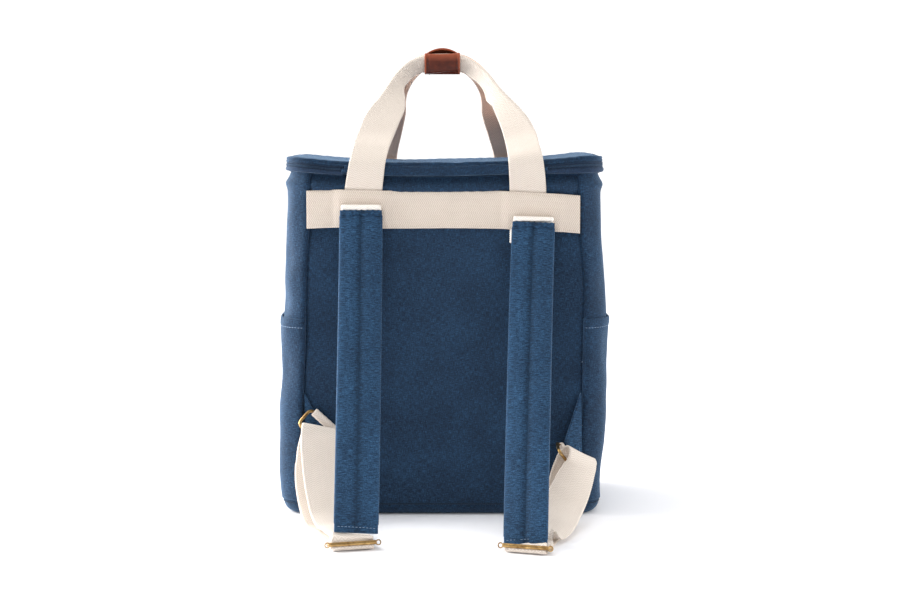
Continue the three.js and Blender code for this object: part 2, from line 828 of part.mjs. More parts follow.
function makeStrap(key) {
  const { side, top, end } = strapLine(key);
  const sections = [];
  const middles = strap_rows.map(
    (row) =>
      new THREE.Vector3(
        mix(top.x, end.x, row.down),
        mix(top.y, end.y, row.lean),
        mix(top.z, end.z, row.down),
      ),
  );
  strap_rows.forEach((row, i) => {
    const before = middles[Math.max(i - 1, 0)];
    const after = middles[Math.min(i + 1, middles.length - 1)];
    const along = new THREE.Vector3().subVectors(after, before).normalize();
    const yaw = mix(side.top_turn, side.turn, row.down);
    const dip = mix(side.tilt, 0, row.down);
    const across = acrossOf(yaw, dip);
    across.addScaledVector(along, -across.dot(along)).normalize();
    const face = new THREE.Vector3().crossVectors(across, along).normalize();
    const half = strap_width / 2;
    const full = mix(strap_hem_thickness, strap_padding, row.full) / 2;
    sections.push(
      strap_section.map(({ across: u, out: v }) =>
        middles[i].clone().addScaledVector(across, u * half).addScaledVector(face, v * full),
      ),
    );
  });
  addPiece(`shoulder_strap_${key}`, loft(sections, false, true), strap_fabric);
}

// The webbing that holds a strap: down from under the band, up in front of it and over into the
// top of the strap
function makeAnchor(key) {
  const { side, top, end } = strapLine(key);
  const under_y = -flatOnPanel(-1);
  const front_y = anchorFrontY();
  const band_row = lookUp(back_band_rows, top.x / half_width, "rise");
  const band_low = band_centre_height + (band_row - 0.5) * band_width;
  const turn_radius = (under_y - front_y) / 2;
  const turn_z = band_low - anchor_drop + turn_radius;
  const fold_radius = (front_y - strapTopY()) / 2;
  const fold_z = top.z + anchor_fold_height - fold_radius - webbing_thickness / 2;
  const rows = [];
  const put = (y, z, shift, tilt) => {
    rows.push({
      middle: new THREE.Vector3(top.x + shift * side.anchor_shift * strap_width, y, z),
      across: acrossOf(0, tilt),
      width: adjuster_width,
      thickness: webbing_thickness,
    });
  };
  const arc_steps = 6;
  put(under_y, band_low + anchor_drop / 2, 1, 0);
  for (let i = 0; i <= arc_steps; i++) {
    const angle = (Math.PI * i) / arc_steps;
    const y = front_y + turn_radius * (1 + Math.cos(angle));
    put(y, turn_z - turn_radius * Math.sin(angle), 1, 0);
  }
  for (let i = 0; i <= arc_steps; i++) {
    const angle = (Math.PI * i) / arc_steps;
    const y = front_y - fold_radius * (1 - Math.cos(angle));
    put(y, fold_z + fold_radius * Math.sin(angle), 0, side.tilt);
  }
  const slope = Math.abs(top.x - end.x) / (top.z - end.z);
  put(strapTopY(), top.z + fit_gap + (strap_width * slope) / 2, 0, side.tilt);
  addPiece(`strap_anchor_${key}`, ribbon(rows), cotton);
}

// Wire pieces

function wireLoop(centre, along, down, length, depth, corner) {
  const places = [];
  const quarter = 3;
  const half_length = length / 2 - corner;
  const half_span = depth / 2 - corner;
  const corners = [
    [half_length, half_span, 0],
    [-half_length, half_span, 1],
    [-half_length, -half_span, 2],
    [half_length, -half_span, 3],
  ];
  for (const [u, v, turn] of corners) {
    for (let i = 0; i <= quarter; i++) {
      const angle = (Math.PI / 2) * (turn + i / quarter);
      places.push([u + corner * Math.cos(angle), v + corner * Math.sin(angle), angle]);
    }
  }
  const normal = new THREE.Vector3().crossVectors(along, down).normalize();
  const sections = places.map(([u, v, angle]) => {
    const middle = centre.clone().addScaledVector(along, u).addScaledVector(down, v);
    const out = along.clone().multiplyScalar(Math.cos(angle)).addScaledVector(down, Math.sin(angle));
    return circle(middle, out, normal, wire_diameter / 2);
  });
  return loft(sections, true);
}

function circle(middle, first, second, radius, sides = 8) {
  const ring = [];
  for (let i = 0; i < sides; i++) {
    const angle = (2 * Math.PI * i) / sides;
    ring.push(
      middle
        .clone()
        .addScaledVector(first, radius * Math.cos(angle))
        .addScaledVector(second, radius * Math.sin(angle)),
    );
  }
  return ring;
}

function rod(start, end, radius) {
  const along = new THREE.Vector3().subVectors(end, start).normalize();
  const first = new THREE.Vector3(0, 0, 1).addScaledVector(along, -along.z).normalize();
  const second = new THREE.Vector3().crossVectors(along, first);
  return loft([circle(start, first, second, radius), circle(end, first, second, radius)]);
}

// Rings of the lower corners. Side, fore and up place the upper left corner of the ring as shares
// of half the width, the strap reach and the ring height; the directions run along its long side
// and across to the side that holds the adjusting webbing.
const ring_places = {
  left: {
    side: -0.818, fore: 0, up: 1.225,
    along: new THREE.Vector3(0.734, 0, -0.679),
    down: new THREE.Vector3(-0.607, -0.437, -0.665),
  },
  right: {
    side: 0.682, fore: 0.06, up: 0.869,
    along: new THREE.Vector3(0.58, 0.2626, -0.7715),
    down: new THREE.Vector3(0.052, -0.956, -0.287),
  },
};

function ringFrame(key) {
  const place = ring_places[key];
  const along = place.along.clone().normalize();
  const down = place.down.clone();
  down.addScaledVector(along, -down.dot(along)).normalize();
  const keeper_seat = panel_y - fit_gap - tab_thickness - fit_gap - keeper_depth / 2;
  const start = new THREE.Vector3(
    place.side * half_width,
    keeper_seat - place.fore * strap_reach,
    place.up * ring_height,
  );
  const centre = start
    .clone()
    .addScaledVector(along, ring_length / 2)
    .addScaledVector(down, ring_depth / 2);
  return { along, down, start, centre };
}

function makeRing(key) {
  const { along, down, centre } = ringFrame(key);
  addPiece(
    `ring_${key}`,
    wireLoop(centre, along, down, ring_length, ring_depth, ring_corner),
    brass,
  );
}

// The keeper is webbing folded round the ring's upper side and sewn to the corner tab
function makeKeeper(key) {
  const { along, start } = ringFrame(key);
  const back = new THREE.Vector3(0, 1, 0).addScaledVector(along, -along.y).normalize();
  const wide = new THREE.Vector3().crossVectors(along, back).normalize();
  const sides = 12;
  const oval = (distance, half_wide, half_deep) => {
    const middle = start.clone().addScaledVector(along, distance);
    const ring = [];
    for (let i = 0; i < sides; i++) {
      const angle = (2 * Math.PI * i) / sides;
      ring.push(
        middle
          .clone()
          .addScaledVector(wide, half_wide * Math.cos(angle))
          .addScaledVector(back, half_deep * Math.sin(angle)),
      );
    }
    return ring;
  };
  const first = (ring_length - keeper_length) / 2;
  const last = first + keeper_length;
  const half_wide = keeper_width / 2;
  const half_deep = keeper_depth / 2;
  const hole_wide = half_wide - keeper_wall;
  const hole_deep = half_deep - keeper_wall;
  const outer = [oval(first, half_wide, half_deep), oval(last, half_wide, half_deep)];
  const inner = [oval(last, hole_wide, hole_deep), oval(first, hole_wide, hole_deep)];
  addPiece(`ring_keeper_${key}`, loft([...outer, ...inner], true), cotton);
}

// Corner tabs: a folded triangle of the panel's cloth, sewn into the side seam. Its free edge
// carries the keeper.
function makeTab(key) {
  const { along, start } = ringFrame(key);
  const sign = key === "left" ? -1 : 1;
  const flat = panel_y - fit_gap - tab_thickness / 2;
  const onSeam = (height) => {
    const reach = lookUp(body_levels, height / body_height, key);
    const seam_x = half_width * reach - corner_radius - 2 * fit_gap;
    return new THREE.Vector3(sign * seam_x, flat, height);
  };
  const seam_top = onSeam(ring_height + tab_height / 2);
  const seam_bottom = onSeam(ring_height - tab_height / 2);
  const outline = [seam_top];
  if (key === "left") {
    const tip_x = seam_top.x + tab_reach;
    outline.push(new THREE.Vector3(tip_x, flat, ring_height - tab_tip_drop));
  } else {
    const back = new THREE.Vector3(0, 1, 0).addScaledVector(along, -along.y).normalize();
    const wide = new THREE.Vector3().crossVectors(along, back).normalize();
    const away = keeper_width / 2 + 2 * fit_gap + tab_thickness / 2;
    outline.push(start.clone().addScaledVector(along, ring_corner).addScaledVector(wide, away));
    const edge_start = start.clone().addScaledVector(wide, away);
    const room = (seam_bottom.x - fit_gap - edge_start.x) / along.x;
    const run = Math.min(ring_length - 2 * ring_corner, room);
    outline.push(edge_start.addScaledVector(along, run));
  }
  outline.push(seam_bottom);
  const normal = new THREE.Vector3()
    .crossVectors(
      new THREE.Vector3().subVectors(outline[1], seam_top),
      new THREE.Vector3().subVectors(seam_bottom, seam_top),
    )
    .normalize();
  const shifted = (share) =>
    outline.map((p) => p.clone().addScaledVector(normal, share * tab_thickness));
  addPiece(`corner_tab_${key}`, loft([shifted(-0.5), shifted(0.5)]), strap_fabric);
}

// Sliders at the strap ends: a wire frame with a middle bar whose ends are curled round the
// frame's short sides
const slider_sides = {
  left: { side: -0.985, fore: 0.988, turn: 13.7, dip: -2.3 },
  right: { side: 0.888, fore: 1.05, turn: -19.4, dip: 1.3 },
};

function sliderFrame(key) {
  const place = slider_sides[key];
  const long = acrossOf(place.turn, place.dip);
  const pitch = THREE.MathUtils.degToRad(slider_pitch);
  const rear = new THREE.Vector3(0, Math.cos(pitch), -Math.sin(pitch));
  rear.addScaledVector(long, -rear.dot(long)).normalize();
  const up = new THREE.Vector3().crossVectors(long, rear).normalize();
  const centre = new THREE.Vector3(
    (place.side * strap_spacing) / 2,
    panel_y - place.fore * strap_reach,
    slider_height,
  );
  return { long, rear, up, centre };
}

function makeSlider(key) {
  const { long, rear, up, centre } = sliderFrame(key);
  const frame = wireLoop(centre, long, rear, slider_length, slider_depth, slider_corner);
  const reach = slider_length / 2;
  const end = (share) => centre.clone().addScaledVector(long, share * reach);
  const bar = rod(end(-1), end(1), wire_diameter / 2);
  const eyes = [-1, 1].map((share) => {
    const middles = 8;
    const sides = 5;
    const sections = [];
    for (let i = 0; i < middles; i++) {
      const angle = (2 * Math.PI * i) / middles;
      const out = long.clone().multiplyScalar(Math.cos(angle)).addScaledVector(up, Math.sin(angle));
      const middle = end(share).addScaledVector(out, eye_radius);
      sections.push(circle(middle, out, rear, eye_wire_diameter / 2, sides));
    }
    return loft(sections, true);
  });
  addPiece(`slider_${key}`, joined([frame, bar, ...eyes]), brass);
}

// Adjusting webbing from the slider to the ring and back, in rows of its middle: side, fore and
// up are shares of half the width, the strap reach and the ring height. Turn and dip are the
// directions of its width in degrees, and wide its gathered width.
const adjuster_rows = {
  left: [
    { side: -0.542, fore: 0.83, up: 0.05, turn: 6, dip: 0, wide: 1 },
    { side: -0.6, fore: 0.587, up: 0.052, turn: 3, dip: 0, wide: 1 },
    { side: -0.65, fore: 0.474, up: 0.083, turn: 2, dip: 2, wide: 1 },
    { side: -0.68, fore: 0.394, up: 0.167, turn: 0, dip: 3, wide: 1 },
    { side: -0.702, fore: 0.34, up: 0.278, turn: 0, dip: 4, wide: 1 },
    { side: -0.727, fore: 0.267, up: 0.467, turn: 0, dip: 6, wide: 1 },
    { side: -0.745, fore: 0.204, up: 0.667, turn: 0, dip: 8, wide: 1 },
    { side: -0.754, fore: 0.164, up: 0.9, turn: 0, dip: 11, wide: 1 },
    { side: -0.752, fore: 0.152, up: 0.985, turn: 0, dip: 11, wide: 1 },
    { side: -0.752, fore: 0.137, up: 1.025, turn: 0, dip: 11, wide: 0.99 },
    { side: -0.752, fore: 0.113, up: 1.043, turn: 0, dip: 11, wide: 0.98 },
    { side: -0.754, fore: 0.09, up: 1.02, turn: 0, dip: 11, wide: 0.97 },
    { side: -0.758, fore: 0.08, up: 0.97, turn: 0, dip: 10, wide: 0.95 },
    { side: -0.785, fore: 0.08, up: 0.87, turn: 0, dip: 8, wide: 0.86 },
    { side: -0.805, fore: 0.083, up: 0.77, turn: 0, dip: 6, wide: 0.8 },
    { side: -0.797, fore: 0.12, up: 0.64, turn: 0, dip: 5, wide: 0.95 },
    { side: -0.79, fore: 0.165, up: 0.45, turn: 0, dip: 4, wide: 1 },
    { side: -0.77, fore: 0.23, up: 0.26, turn: 0, dip: 3, wide: 1 },
    { side: -0.74, fore: 0.315, up: 0.12, turn: 2, dip: 2, wide: 1 },
    { side: -0.7, fore: 0.39, up: 0.035, turn: 3, dip: 0, wide: 1 },
    { side: -0.64, fore: 0.53, up: 0.016, turn: 4, dip: 0, wide: 1 },
    { side: -0.565, fore: 0.82, up: 0.016, turn: 8, dip: 0, wide: 1 },
    { side: -0.54, fore: 0.9, up: 0.016, turn: 11, dip: 0, wide: 1 },
  ],
  right: [
    { side: 0.5, fore: 0.89, up: 0.06, turn: -18, dip: 0, wide: 1 },
    { side: 0.54, fore: 0.8, up: 0.075, turn: -14, dip: 2, wide: 1 },
    { side: 0.595, fore: 0.7, up: 0.12, turn: -8, dip: 8, wide: 1 },
    { side: 0.645, fore: 0.58, up: 0.19, turn: -2, dip: 13, wide: 1 },
    { side: 0.69, fore: 0.47, up: 0.24, turn: 2, dip: 17, wide: 1 },
    { side: 0.735, fore: 0.37, up: 0.34, turn: 8, dip: 19, wide: 1 },
    { side: 0.775, fore: 0.29, up: 0.46, turn: 18, dip: 20, wide: 1 },
    { side: 0.81, fore: 0.24, up: 0.58, turn: 30, dip: 22, wide: 1 },
    { side: 0.832, fore: 0.215, up: 0.68, turn: 38, dip: 24, wide: 1 },
    { side: 0.835, fore: 0.185, up: 0.735, turn: 39, dip: 25, wide: 0.98 },
    { side: 0.825, fore: 0.145, up: 0.755, turn: 38, dip: 27, wide: 0.95 },
    { side: 0.805, fore: 0.112, up: 0.73, turn: 36, dip: 30, wide: 0.9 },
    { side: 0.768, fore: 0.106, up: 0.67, turn: 26, dip: 36, wide: 0.82 },
    { side: 0.743, fore: 0.115, up: 0.58, turn: 18, dip: 40, wide: 0.77 },
    { side: 0.728, fore: 0.13, up: 0.48, turn: 18, dip: 36, wide: 0.84 },
    { side: 0.72, fore: 0.18, up: 0.36, turn: 10, dip: 28, wide: 0.95 },
    { side: 0.7, fore: 0.25, up: 0.25, turn: 4, dip: 18, wide: 1 },
    { side: 0.675, fore: 0.34, up: 0.14, turn: 0, dip: 9, wide: 1 },
    { side: 0.64, fore: 0.46, up: 0.06, turn: -4, dip: 3, wide: 1 },
    { side: 0.59, fore: 0.62, up: 0.018, turn: -9, dip: 0, wide: 1 },
    { side: 0.53, fore: 0.82, up: 0.016, turn: -15, dip: 0, wide: 1 },
    { side: 0.51, fore: 0.91, up: 0.016, turn: -17, dip: 0, wide: 1 },
  ],
};

// Section of the webbing's way through the slider, in wire diameters behind and above its middle
// bar: down behind the front bar, round under the middle bar and over the rear bar
const slider_route = [
  { rear: -1.04, up: 1.2 },
  { rear: -1.04, up: 0.3 },
  { rear: -0.96, up: -0.45 },
  { rear: -0.6, up: -0.95 },
  { rear: 0, up: -1.14 },
  { rear: 0.6, up: -0.95 },
  { rear: 0.98, up: -0.45 },
  { rear: 1.1, up: 0.3 },
  { rear: 1.35, up: 1.0 },
  { rear: 2.1, up: 1.35 },
  { rear: 2.9, up: 1.2 },
  { rear: 3.8, up: 0.8 },
];

// The webbing starts flush under the strap's hem, passes through the slider, runs to the ring and
// comes back under itself to the slider
function makeAdjuster(key) {
  const { long, rear, up, centre } = sliderFrame(key);
  const { end } = strapLine(key);
  const start_height = end.z - fit_gap - strap_hem_thickness / 3;
  const rows = [];
  for (const place of slider_route) {
    const middle = centre
      .clone()
      .addScaledVector(rear, place.rear * wire_diameter)
      .addScaledVector(up, place.up * wire_diameter);
    if (place.rear < 0 && middle.z > start_height - webbing_thickness) {
      continue;
    }
    rows.push({ middle, across: long, width: adjuster_width, thickness: webbing_thickness });
  }
  const first = rows[0].middle;
  const start_share = 0.8;
  rows.unshift({
    middle: new THREE.Vector3(first.x, mix(first.y, end.y, start_share), start_height),
    across: long,
    width: adjuster_width,
    thickness: webbing_thickness,
  });
  for (const row of adjuster_rows[key]) {
    rows.push({
      middle: new THREE.Vector3(
        row.side * half_width,
        panel_y - row.fore * strap_reach,
        row.up * ring_height,
      ),
      across: acrossOf(row.turn, row.dip),
      width: adjuster_width * row.wide,
      thickness: webbing_thickness,
    });
  }
  addPiece(`adjusting_webbing_${key}`, ribbon(rows), cotton);
}

makeBody();
makeLidBand();
makeLid();
makeZipSliders();
makeBasePiping();
makePocket("side_pocket_right", right_seam_station);
makePocket("side_pocket_left", left_seam_station);
addPiece("band_back", ribbon(back_band_rows.map((row) => bandRow(row, -1))), cotton);
addPiece("band_front", ribbon(front_band_rows.map((row) => bandRow(row, 1))), cotton);
makeHandle("handle_back", back_handle_rows, handle_spread, -1);
makeHandle("handle_front", front_handle_rows, front_handle_spread, 1);
makeWrap();
for (const key of ["left", "right"]) {
  makeStrap(key);
  makeAnchor(key);
  makeRing(key);
  makeKeeper(key);
  makeTab(key);
  makeSlider(key);
  makeAdjuster(key);
}

export default object;
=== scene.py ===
import math
import bpy
import numpy as np
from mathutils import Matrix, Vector, noise


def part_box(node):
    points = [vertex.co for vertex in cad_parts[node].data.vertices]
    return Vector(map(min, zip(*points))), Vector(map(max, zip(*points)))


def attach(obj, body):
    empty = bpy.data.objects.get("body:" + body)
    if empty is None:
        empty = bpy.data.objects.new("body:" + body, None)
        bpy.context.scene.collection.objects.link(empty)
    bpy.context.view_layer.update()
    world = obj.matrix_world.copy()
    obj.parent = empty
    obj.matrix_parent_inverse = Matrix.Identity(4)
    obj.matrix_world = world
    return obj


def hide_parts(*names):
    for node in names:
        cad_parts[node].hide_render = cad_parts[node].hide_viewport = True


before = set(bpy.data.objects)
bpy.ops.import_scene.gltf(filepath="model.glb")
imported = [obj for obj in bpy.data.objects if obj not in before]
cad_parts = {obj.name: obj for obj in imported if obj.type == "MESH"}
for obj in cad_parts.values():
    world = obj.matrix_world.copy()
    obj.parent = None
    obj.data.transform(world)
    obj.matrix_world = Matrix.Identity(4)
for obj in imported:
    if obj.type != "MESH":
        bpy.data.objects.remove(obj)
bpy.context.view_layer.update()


def in_scene(name, data):
    """A new object of some data, in the scene."""
    thing = bpy.data.objects.new(name, data)
    bpy.context.scene.collection.objects.link(thing)
    return thing


def bell(off, width):
    """One in the middle, falling to nothing beyond about twice the width."""
    return np.exp(-((off / width) ** 2))


def run_of(points):
    """Length along a line, at each of its points."""
    return np.concatenate([[0], np.cumsum(np.linalg.norm(np.diff(points, axis=0), axis=1))])


# Camera. The photograph was taken two metres in front of the harness side, a little above the
# bag's middle and looking slightly down, with a long lens.
camera_place = (0.005, -2.090, 0.440)
camera_fall = 0.110
camera_lens = 80.1

camera = in_scene("camera", bpy.data.cameras.new("camera"))
camera.data.lens = camera_lens
camera.data.sensor_width = 36
camera.location = camera_place
camera.rotation_euler = (math.pi / 2 - math.atan(camera_fall), 0, 0)
bpy.context.scene.camera = camera
bpy.context.scene.view_settings.view_transform = "Standard"

# Floor and light. A white paper sweep in a white room that is darker behind the camera, under a
# broad light from above and soft boxes at both sides, the left one much the stronger.
paper_white, paper_shade = "#fbfbfd", "#f8f8fb"
room_front = 0.53
room_back = 1.15
sky_strength = 0.75
sky_angle = 70
sky_lean = (-0.30, -0.15)
floor_half_width = 6.0
soft_boxes = (
    # name, place, size, power, aim
    ("box_left", (-1.6, 0.40, 0.80), 1.7, 62, (0, 0, 0.25)),
    ("box_left_low", (-1.2, 0.15, 0.28), 0.5, 7, (-0.16, 0, 0.12)),
    ("box_right", (1.7, 0.30, 0.75), 1.0, 5, (0, 0, 0.2)),
    ("box_right_low", (1.5, 0.10, 0.35), 0.6, 6, (0.2, 0, 0.08)),
    ("box_front", (-0.7, -2.7, 1.3), 1.3, 6, (0, 0, 0.2)),
)


def linear(code):
    """Linear colour of an sRGB hex code."""
    parts = [int(code[i:i + 2], 16) / 255 for i in (1, 3, 5)]
    return tuple(c / 12.92 if c <= 0.04045 else ((c + 0.055) / 1.055) ** 2.4 for c in parts) + (1,)


def add_node(tree, kind, inputs=(), **settings):
    """A node with its settings, and a value or a link on each named or numbered socket."""
    node = tree.nodes.new("ShaderNode" + kind)
    for key, value in settings.items():
        setattr(node, key, value)
    for socket, value in dict(inputs).items():
        if isinstance(value, bpy.types.NodeSocket):
            tree.links.new(value, node.inputs[socket])
        else:
            node.inputs[socket].default_value = value
    return node.outputs


def maths(tree, operation, *values):
    """Result of a Math node."""
    return add_node(tree, "Math", dict(enumerate(values)), operation=operation)["Value"]


def speckle(tree, place, scale, detail, **settings):
    """Noise at a place."""
    return add_node(tree, "TexNoise", {"Vector": place, "Scale": scale, "Detail": detail},
                    **settings)["Fac"]


def tone_of(tree, factor, dark, light, low=0.0, high=1.0):
    """Colour from a dark to a light hex code as a factor goes from low to high."""
    tone = add_node(tree, "ValToRGB", {"Fac": factor})["Color"]
    ends = tree.nodes[-1].color_ramp.elements
    ends[0].position, ends[1].position = low, high
    ends[0].color, ends[1].color = linear(dark), linear(light)
    return tone


def lay_on(tree, sockets, tone, height, strength, depth):
    """The shader gets a colour and a relief, whose depth is in metres."""
    bump = add_node(tree, "Bump", {"Height": height, "Strength": strength, "Distance": depth})
    tree.links.new(tone, sockets["Base Color"])
    tree.links.new(bump["Normal"], sockets["Normal"])


def new_material(name, **sockets):
    """A material with a Principled shader, its tree and the shader's inputs."""
    material = bpy.data.materials.new(name)
    material.use_nodes = True
    tree = material.node_tree
    shader = tree.nodes["Principled BSDF"]
    for socket, value in sockets.items():
        shader.inputs[socket.replace("_", " ")].default_value = value
    return material, tree, shader.inputs


world = bpy.data.worlds.new("white room")
world.use_nodes = True
way = add_node(world.node_tree, "TexCoord")["Generated"]
depth = add_node(world.node_tree, "SeparateXYZ", {"Vector": way})["Y"]
strength = add_node(world.node_tree, "MapRange", {"Value": depth, 1: -0.7, 2: 0.15, 3: room_front,
                                                  4: room_back})["Result"]
backdrop = world.node_tree.nodes["Background"].inputs
backdrop["Color"].default_value = (1, 1, 1, 1)
world.node_tree.links.new(strength, backdrop["Strength"])
bpy.context.scene.world = world

sky = bpy.data.lights.new("sky", "SUN")
sky.energy = sky_strength
sky.angle = math.radians(sky_angle)
sky_lamp = in_scene("sky", sky)
sky_way = Vector((-sky_lean[0], -sky_lean[1], -1))
sky_lamp.rotation_euler = sky_way.to_track_quat("-Z", "Y").to_euler()

for name, place, size, power, aim in soft_boxes:
    lamp = bpy.data.lights.new(name, "AREA")
    lamp.shape = "SQUARE"
    lamp.size = size
    lamp.energy = power
    soft_box = in_scene(name, lamp)
    soft_box.location = place
    soft_box.rotation_euler = (Vector(aim) - Vector(place)).to_track_quat("-Z", "Y").to_euler()

# Matt white paper, which a bright room turns to pure white where nothing shades it
paper, tree, sockets = new_material("matt_white_paper", Roughness=0.95)
paper_grain = add_node(tree, "TexNoise", {"Scale": 900, "Detail": 2})
paper_tone = tone_of(tree, paper_grain["Fac"], paper_shade, paper_white)
tree.links.new(paper_tone, sockets["Base Color"])

floor_mesh = bpy.data.meshes.new("floor")
w = floor_half_width
floor_mesh.from_pydata([(-w, -w, 0), (w, -w, 0), (w, w, 0), (-w, w, 0)], [], [(0, 1, 2, 3)])
floor_mesh.materials.append(paper)
floor = in_scene("floor", floor_mesh)


# Body. The real one is a box of foam-padded polyester cloth, woven from two blues so that it
# looks mottled. Back, front and side panels are sewn together with the seams turned in, and the
# side panels run round the corners.
body_height = 344
half_width = 165
half_depth = 90
corner_radius = 25
base_rounding = 12
body_wall = 6
body_levels = (
    # share of the height, then left, right, back and front reach as shares of the half sizes
    (0.024, 1.004, 0.958, 1.000, 1.000),
    (0.097, 1.015, 0.956, 1.000, 1.012),
    (0.210, 1.018, 0.975, 1.000, 1.026),
    (0.320, 1.016, 0.990, 1.000, 1.036),
    (0.430, 1.008, 0.992, 1.000, 1.040),
    (0.500, 1.000, 0.993, 1.000, 1.038),
    (0.584, 0.996, 0.994, 1.000, 1.034),
    (0.700, 0.990, 0.995, 1.000, 1.024),
    (0.780, 0.982, 0.982, 1.000, 1.014),
    (0.870, 0.969, 0.966, 1.000, 1.004),
    (0.960, 0.966, 0.958, 1.000, 0.998),
    (1.000, 0.964, 0.956, 0.998, 0.996),
)
# Soft hollows of the side panels: side, height in mm, distance along the side from its middle
# in mm, the two sizes in mm, depth in mm
side_dents = (
    (1, 275, -56, 34, 27, 3.0),
    (1, 234, -18, 24, 45, 3.6),
    (1, 120, 27, 41, 45, 2.7),
    (1, 232, -80, 18, 10, 2.6),
    (1, 170, -76, 26, 9, 2.4),
    (-1, 248, 9, 34, 54, 3.0),
    (-1, 141, -45, 21, 27, 3.3),
    (-1, 150, -82, 24, 9, 3.4),
    (-1, 262, -80, 15, 8, 2.6),
    (-1, 69, 32, 34, 45, 2.4),
    (-1, 216, -76, 16, 11, 3.0),
)
# How far the top seam rises over its level, by x
rim_rise_rows = (
    (-165, 5.0), (-150, 4.6), (-135, 3.4), (-110, 1.6), (-60, 0), (20, 0), (60, 1.4), (105, 2.6),
    (145, 3.2), (165, 3.3),
)
seam_groove_depth = 3.4
seam_groove_width = 1.5


def smooth_rows(rows, at):
    """Values of a table at places of its first column, on one smooth curve through its rows."""
    rows = np.array(rows, float)
    place = rows[:, 0]
    slope = np.gradient(rows, place, axis=0)
    at = np.clip(np.atleast_1d(at), place[0], place[-1])
    i = np.clip(np.searchsorted(place, at) - 1, 0, len(place) - 2)
    width = (place[i + 1] - place[i])[:, None]
    t = (at - place[i])[:, None] / width
    near, far = rows[i], rows[i + 1]
    leave, reach = slope[i] * width, slope[i + 1] * width
    return (
        (2 * t**3 - 3 * t**2 + 1) * near + (t**3 - 2 * t**2 + t) * leave
        + (3 * t**2 - 2 * t**3) * far + (t**3 - t**2) * reach
    )


def rim_rise(x):
    """Rise of the top seam at an array of x, or at one."""
    return smooth_rows(rim_rise_rows, x)[:, 1]


def fine_at_ends(length, step, first=(0, 0.7, 1.4, 2.2, 3.2, 4.5, 6.5, 9)):
    """Places along a run, close together at both ends, where its seams are."""
    middle = np.linspace(first[-1], length - first[-1], max(2, round(length / step)))[1:-1]
    return np.concatenate([first, middle, length - np.array(first[:0:-1])])


back_length, side_length, corner_length = 280, 130, 39  # along the panels at mid height
back_run = fine_at_ends(back_length, 6) / back_length
side_run = fine_at_ends(side_length, 6) / side_length
corner_run = fine_at_ends(corner_length, 4, (0, 0.7, 1.4, 2.2, 3.2, 4.5, 6.5)) / corner_length


def outline(level, offset=0.0, inset=0.0):
    """Stations round the body at a height in mm: x, y, and the outward direction there."""
    row = smooth_rows(body_levels, level / body_height)[0]
    left = -half_width * row[1] - offset + inset
    right = half_width * row[2] + offset - inset
    back = -half_depth * row[3] - offset + inset
    front = half_depth * row[4] + offset - inset
    radius = max(corner_radius + offset - inset, 3)
    points, outs = [], []

    def run(start, end, shares, out):
        for share in shares:
            points.append((start[0] + (end[0] - start[0]) * share,
                           start[1] + (end[1] - start[1]) * share))
            outs.append(out)

    def corner(middle, start):
        for share in corner_run:
            angle = start + math.pi / 2 * share
            out = (math.cos(angle), math.sin(angle))
            points.append((middle[0] + radius * out[0], middle[1] + radius * out[1]))
            outs.append(out)

    run((left + radius, back), (right - radius, back), back_run, (0, -1))
    corner((right - radius, back + radius), -math.pi / 2)
    run((right, back + radius), (right, front - radius), side_run, (1, 0))
    corner((right - radius, front - radius), 0)
    run((right - radius, front), (left + radius, front), back_run, (0, 1))
    corner((left + radius, front - radius), math.pi / 2)
    run((left, front - radius), (left, back + radius), side_run, (-1, 0))
    corner((left + radius, back + radius), math.pi)
    return np.array(points), np.array(outs)


# Distance of each station round the body from the nearest seam, in mm, and its kind of panel
seam_distance, on_side = [], []
for k in range(2):
    seam_distance += [min(s, 1 - s) * back_length for s in back_run]
    on_side += [0] * len(back_run)
    whole_side = [s * corner_length for s in corner_run]
    whole_side += [corner_length + s * side_length for s in side_run]
    whole_side += [corner_length + side_length + s * corner_length for s in corner_run]
    seam_distance += [min(s, 2 * corner_length + side_length - s) for s in whole_side]
    on_side += [1] * len(whole_side)
seam_distance = np.array(seam_distance)
on_side = np.array(on_side)
body_round = run_of(outline(170)[0])
body_round = np.append(body_round, body_round[-1] + 0.1)


def soft_noise(points, size, seed):
    """Smooth waves between -1 and 1, of a size in mm, at an array of points."""
    shift = Vector((seed * 7.3, seed * 3.1, seed * 5.7))
    return np.array([noise.noise(Vector(p) / size + shift) for p in points])


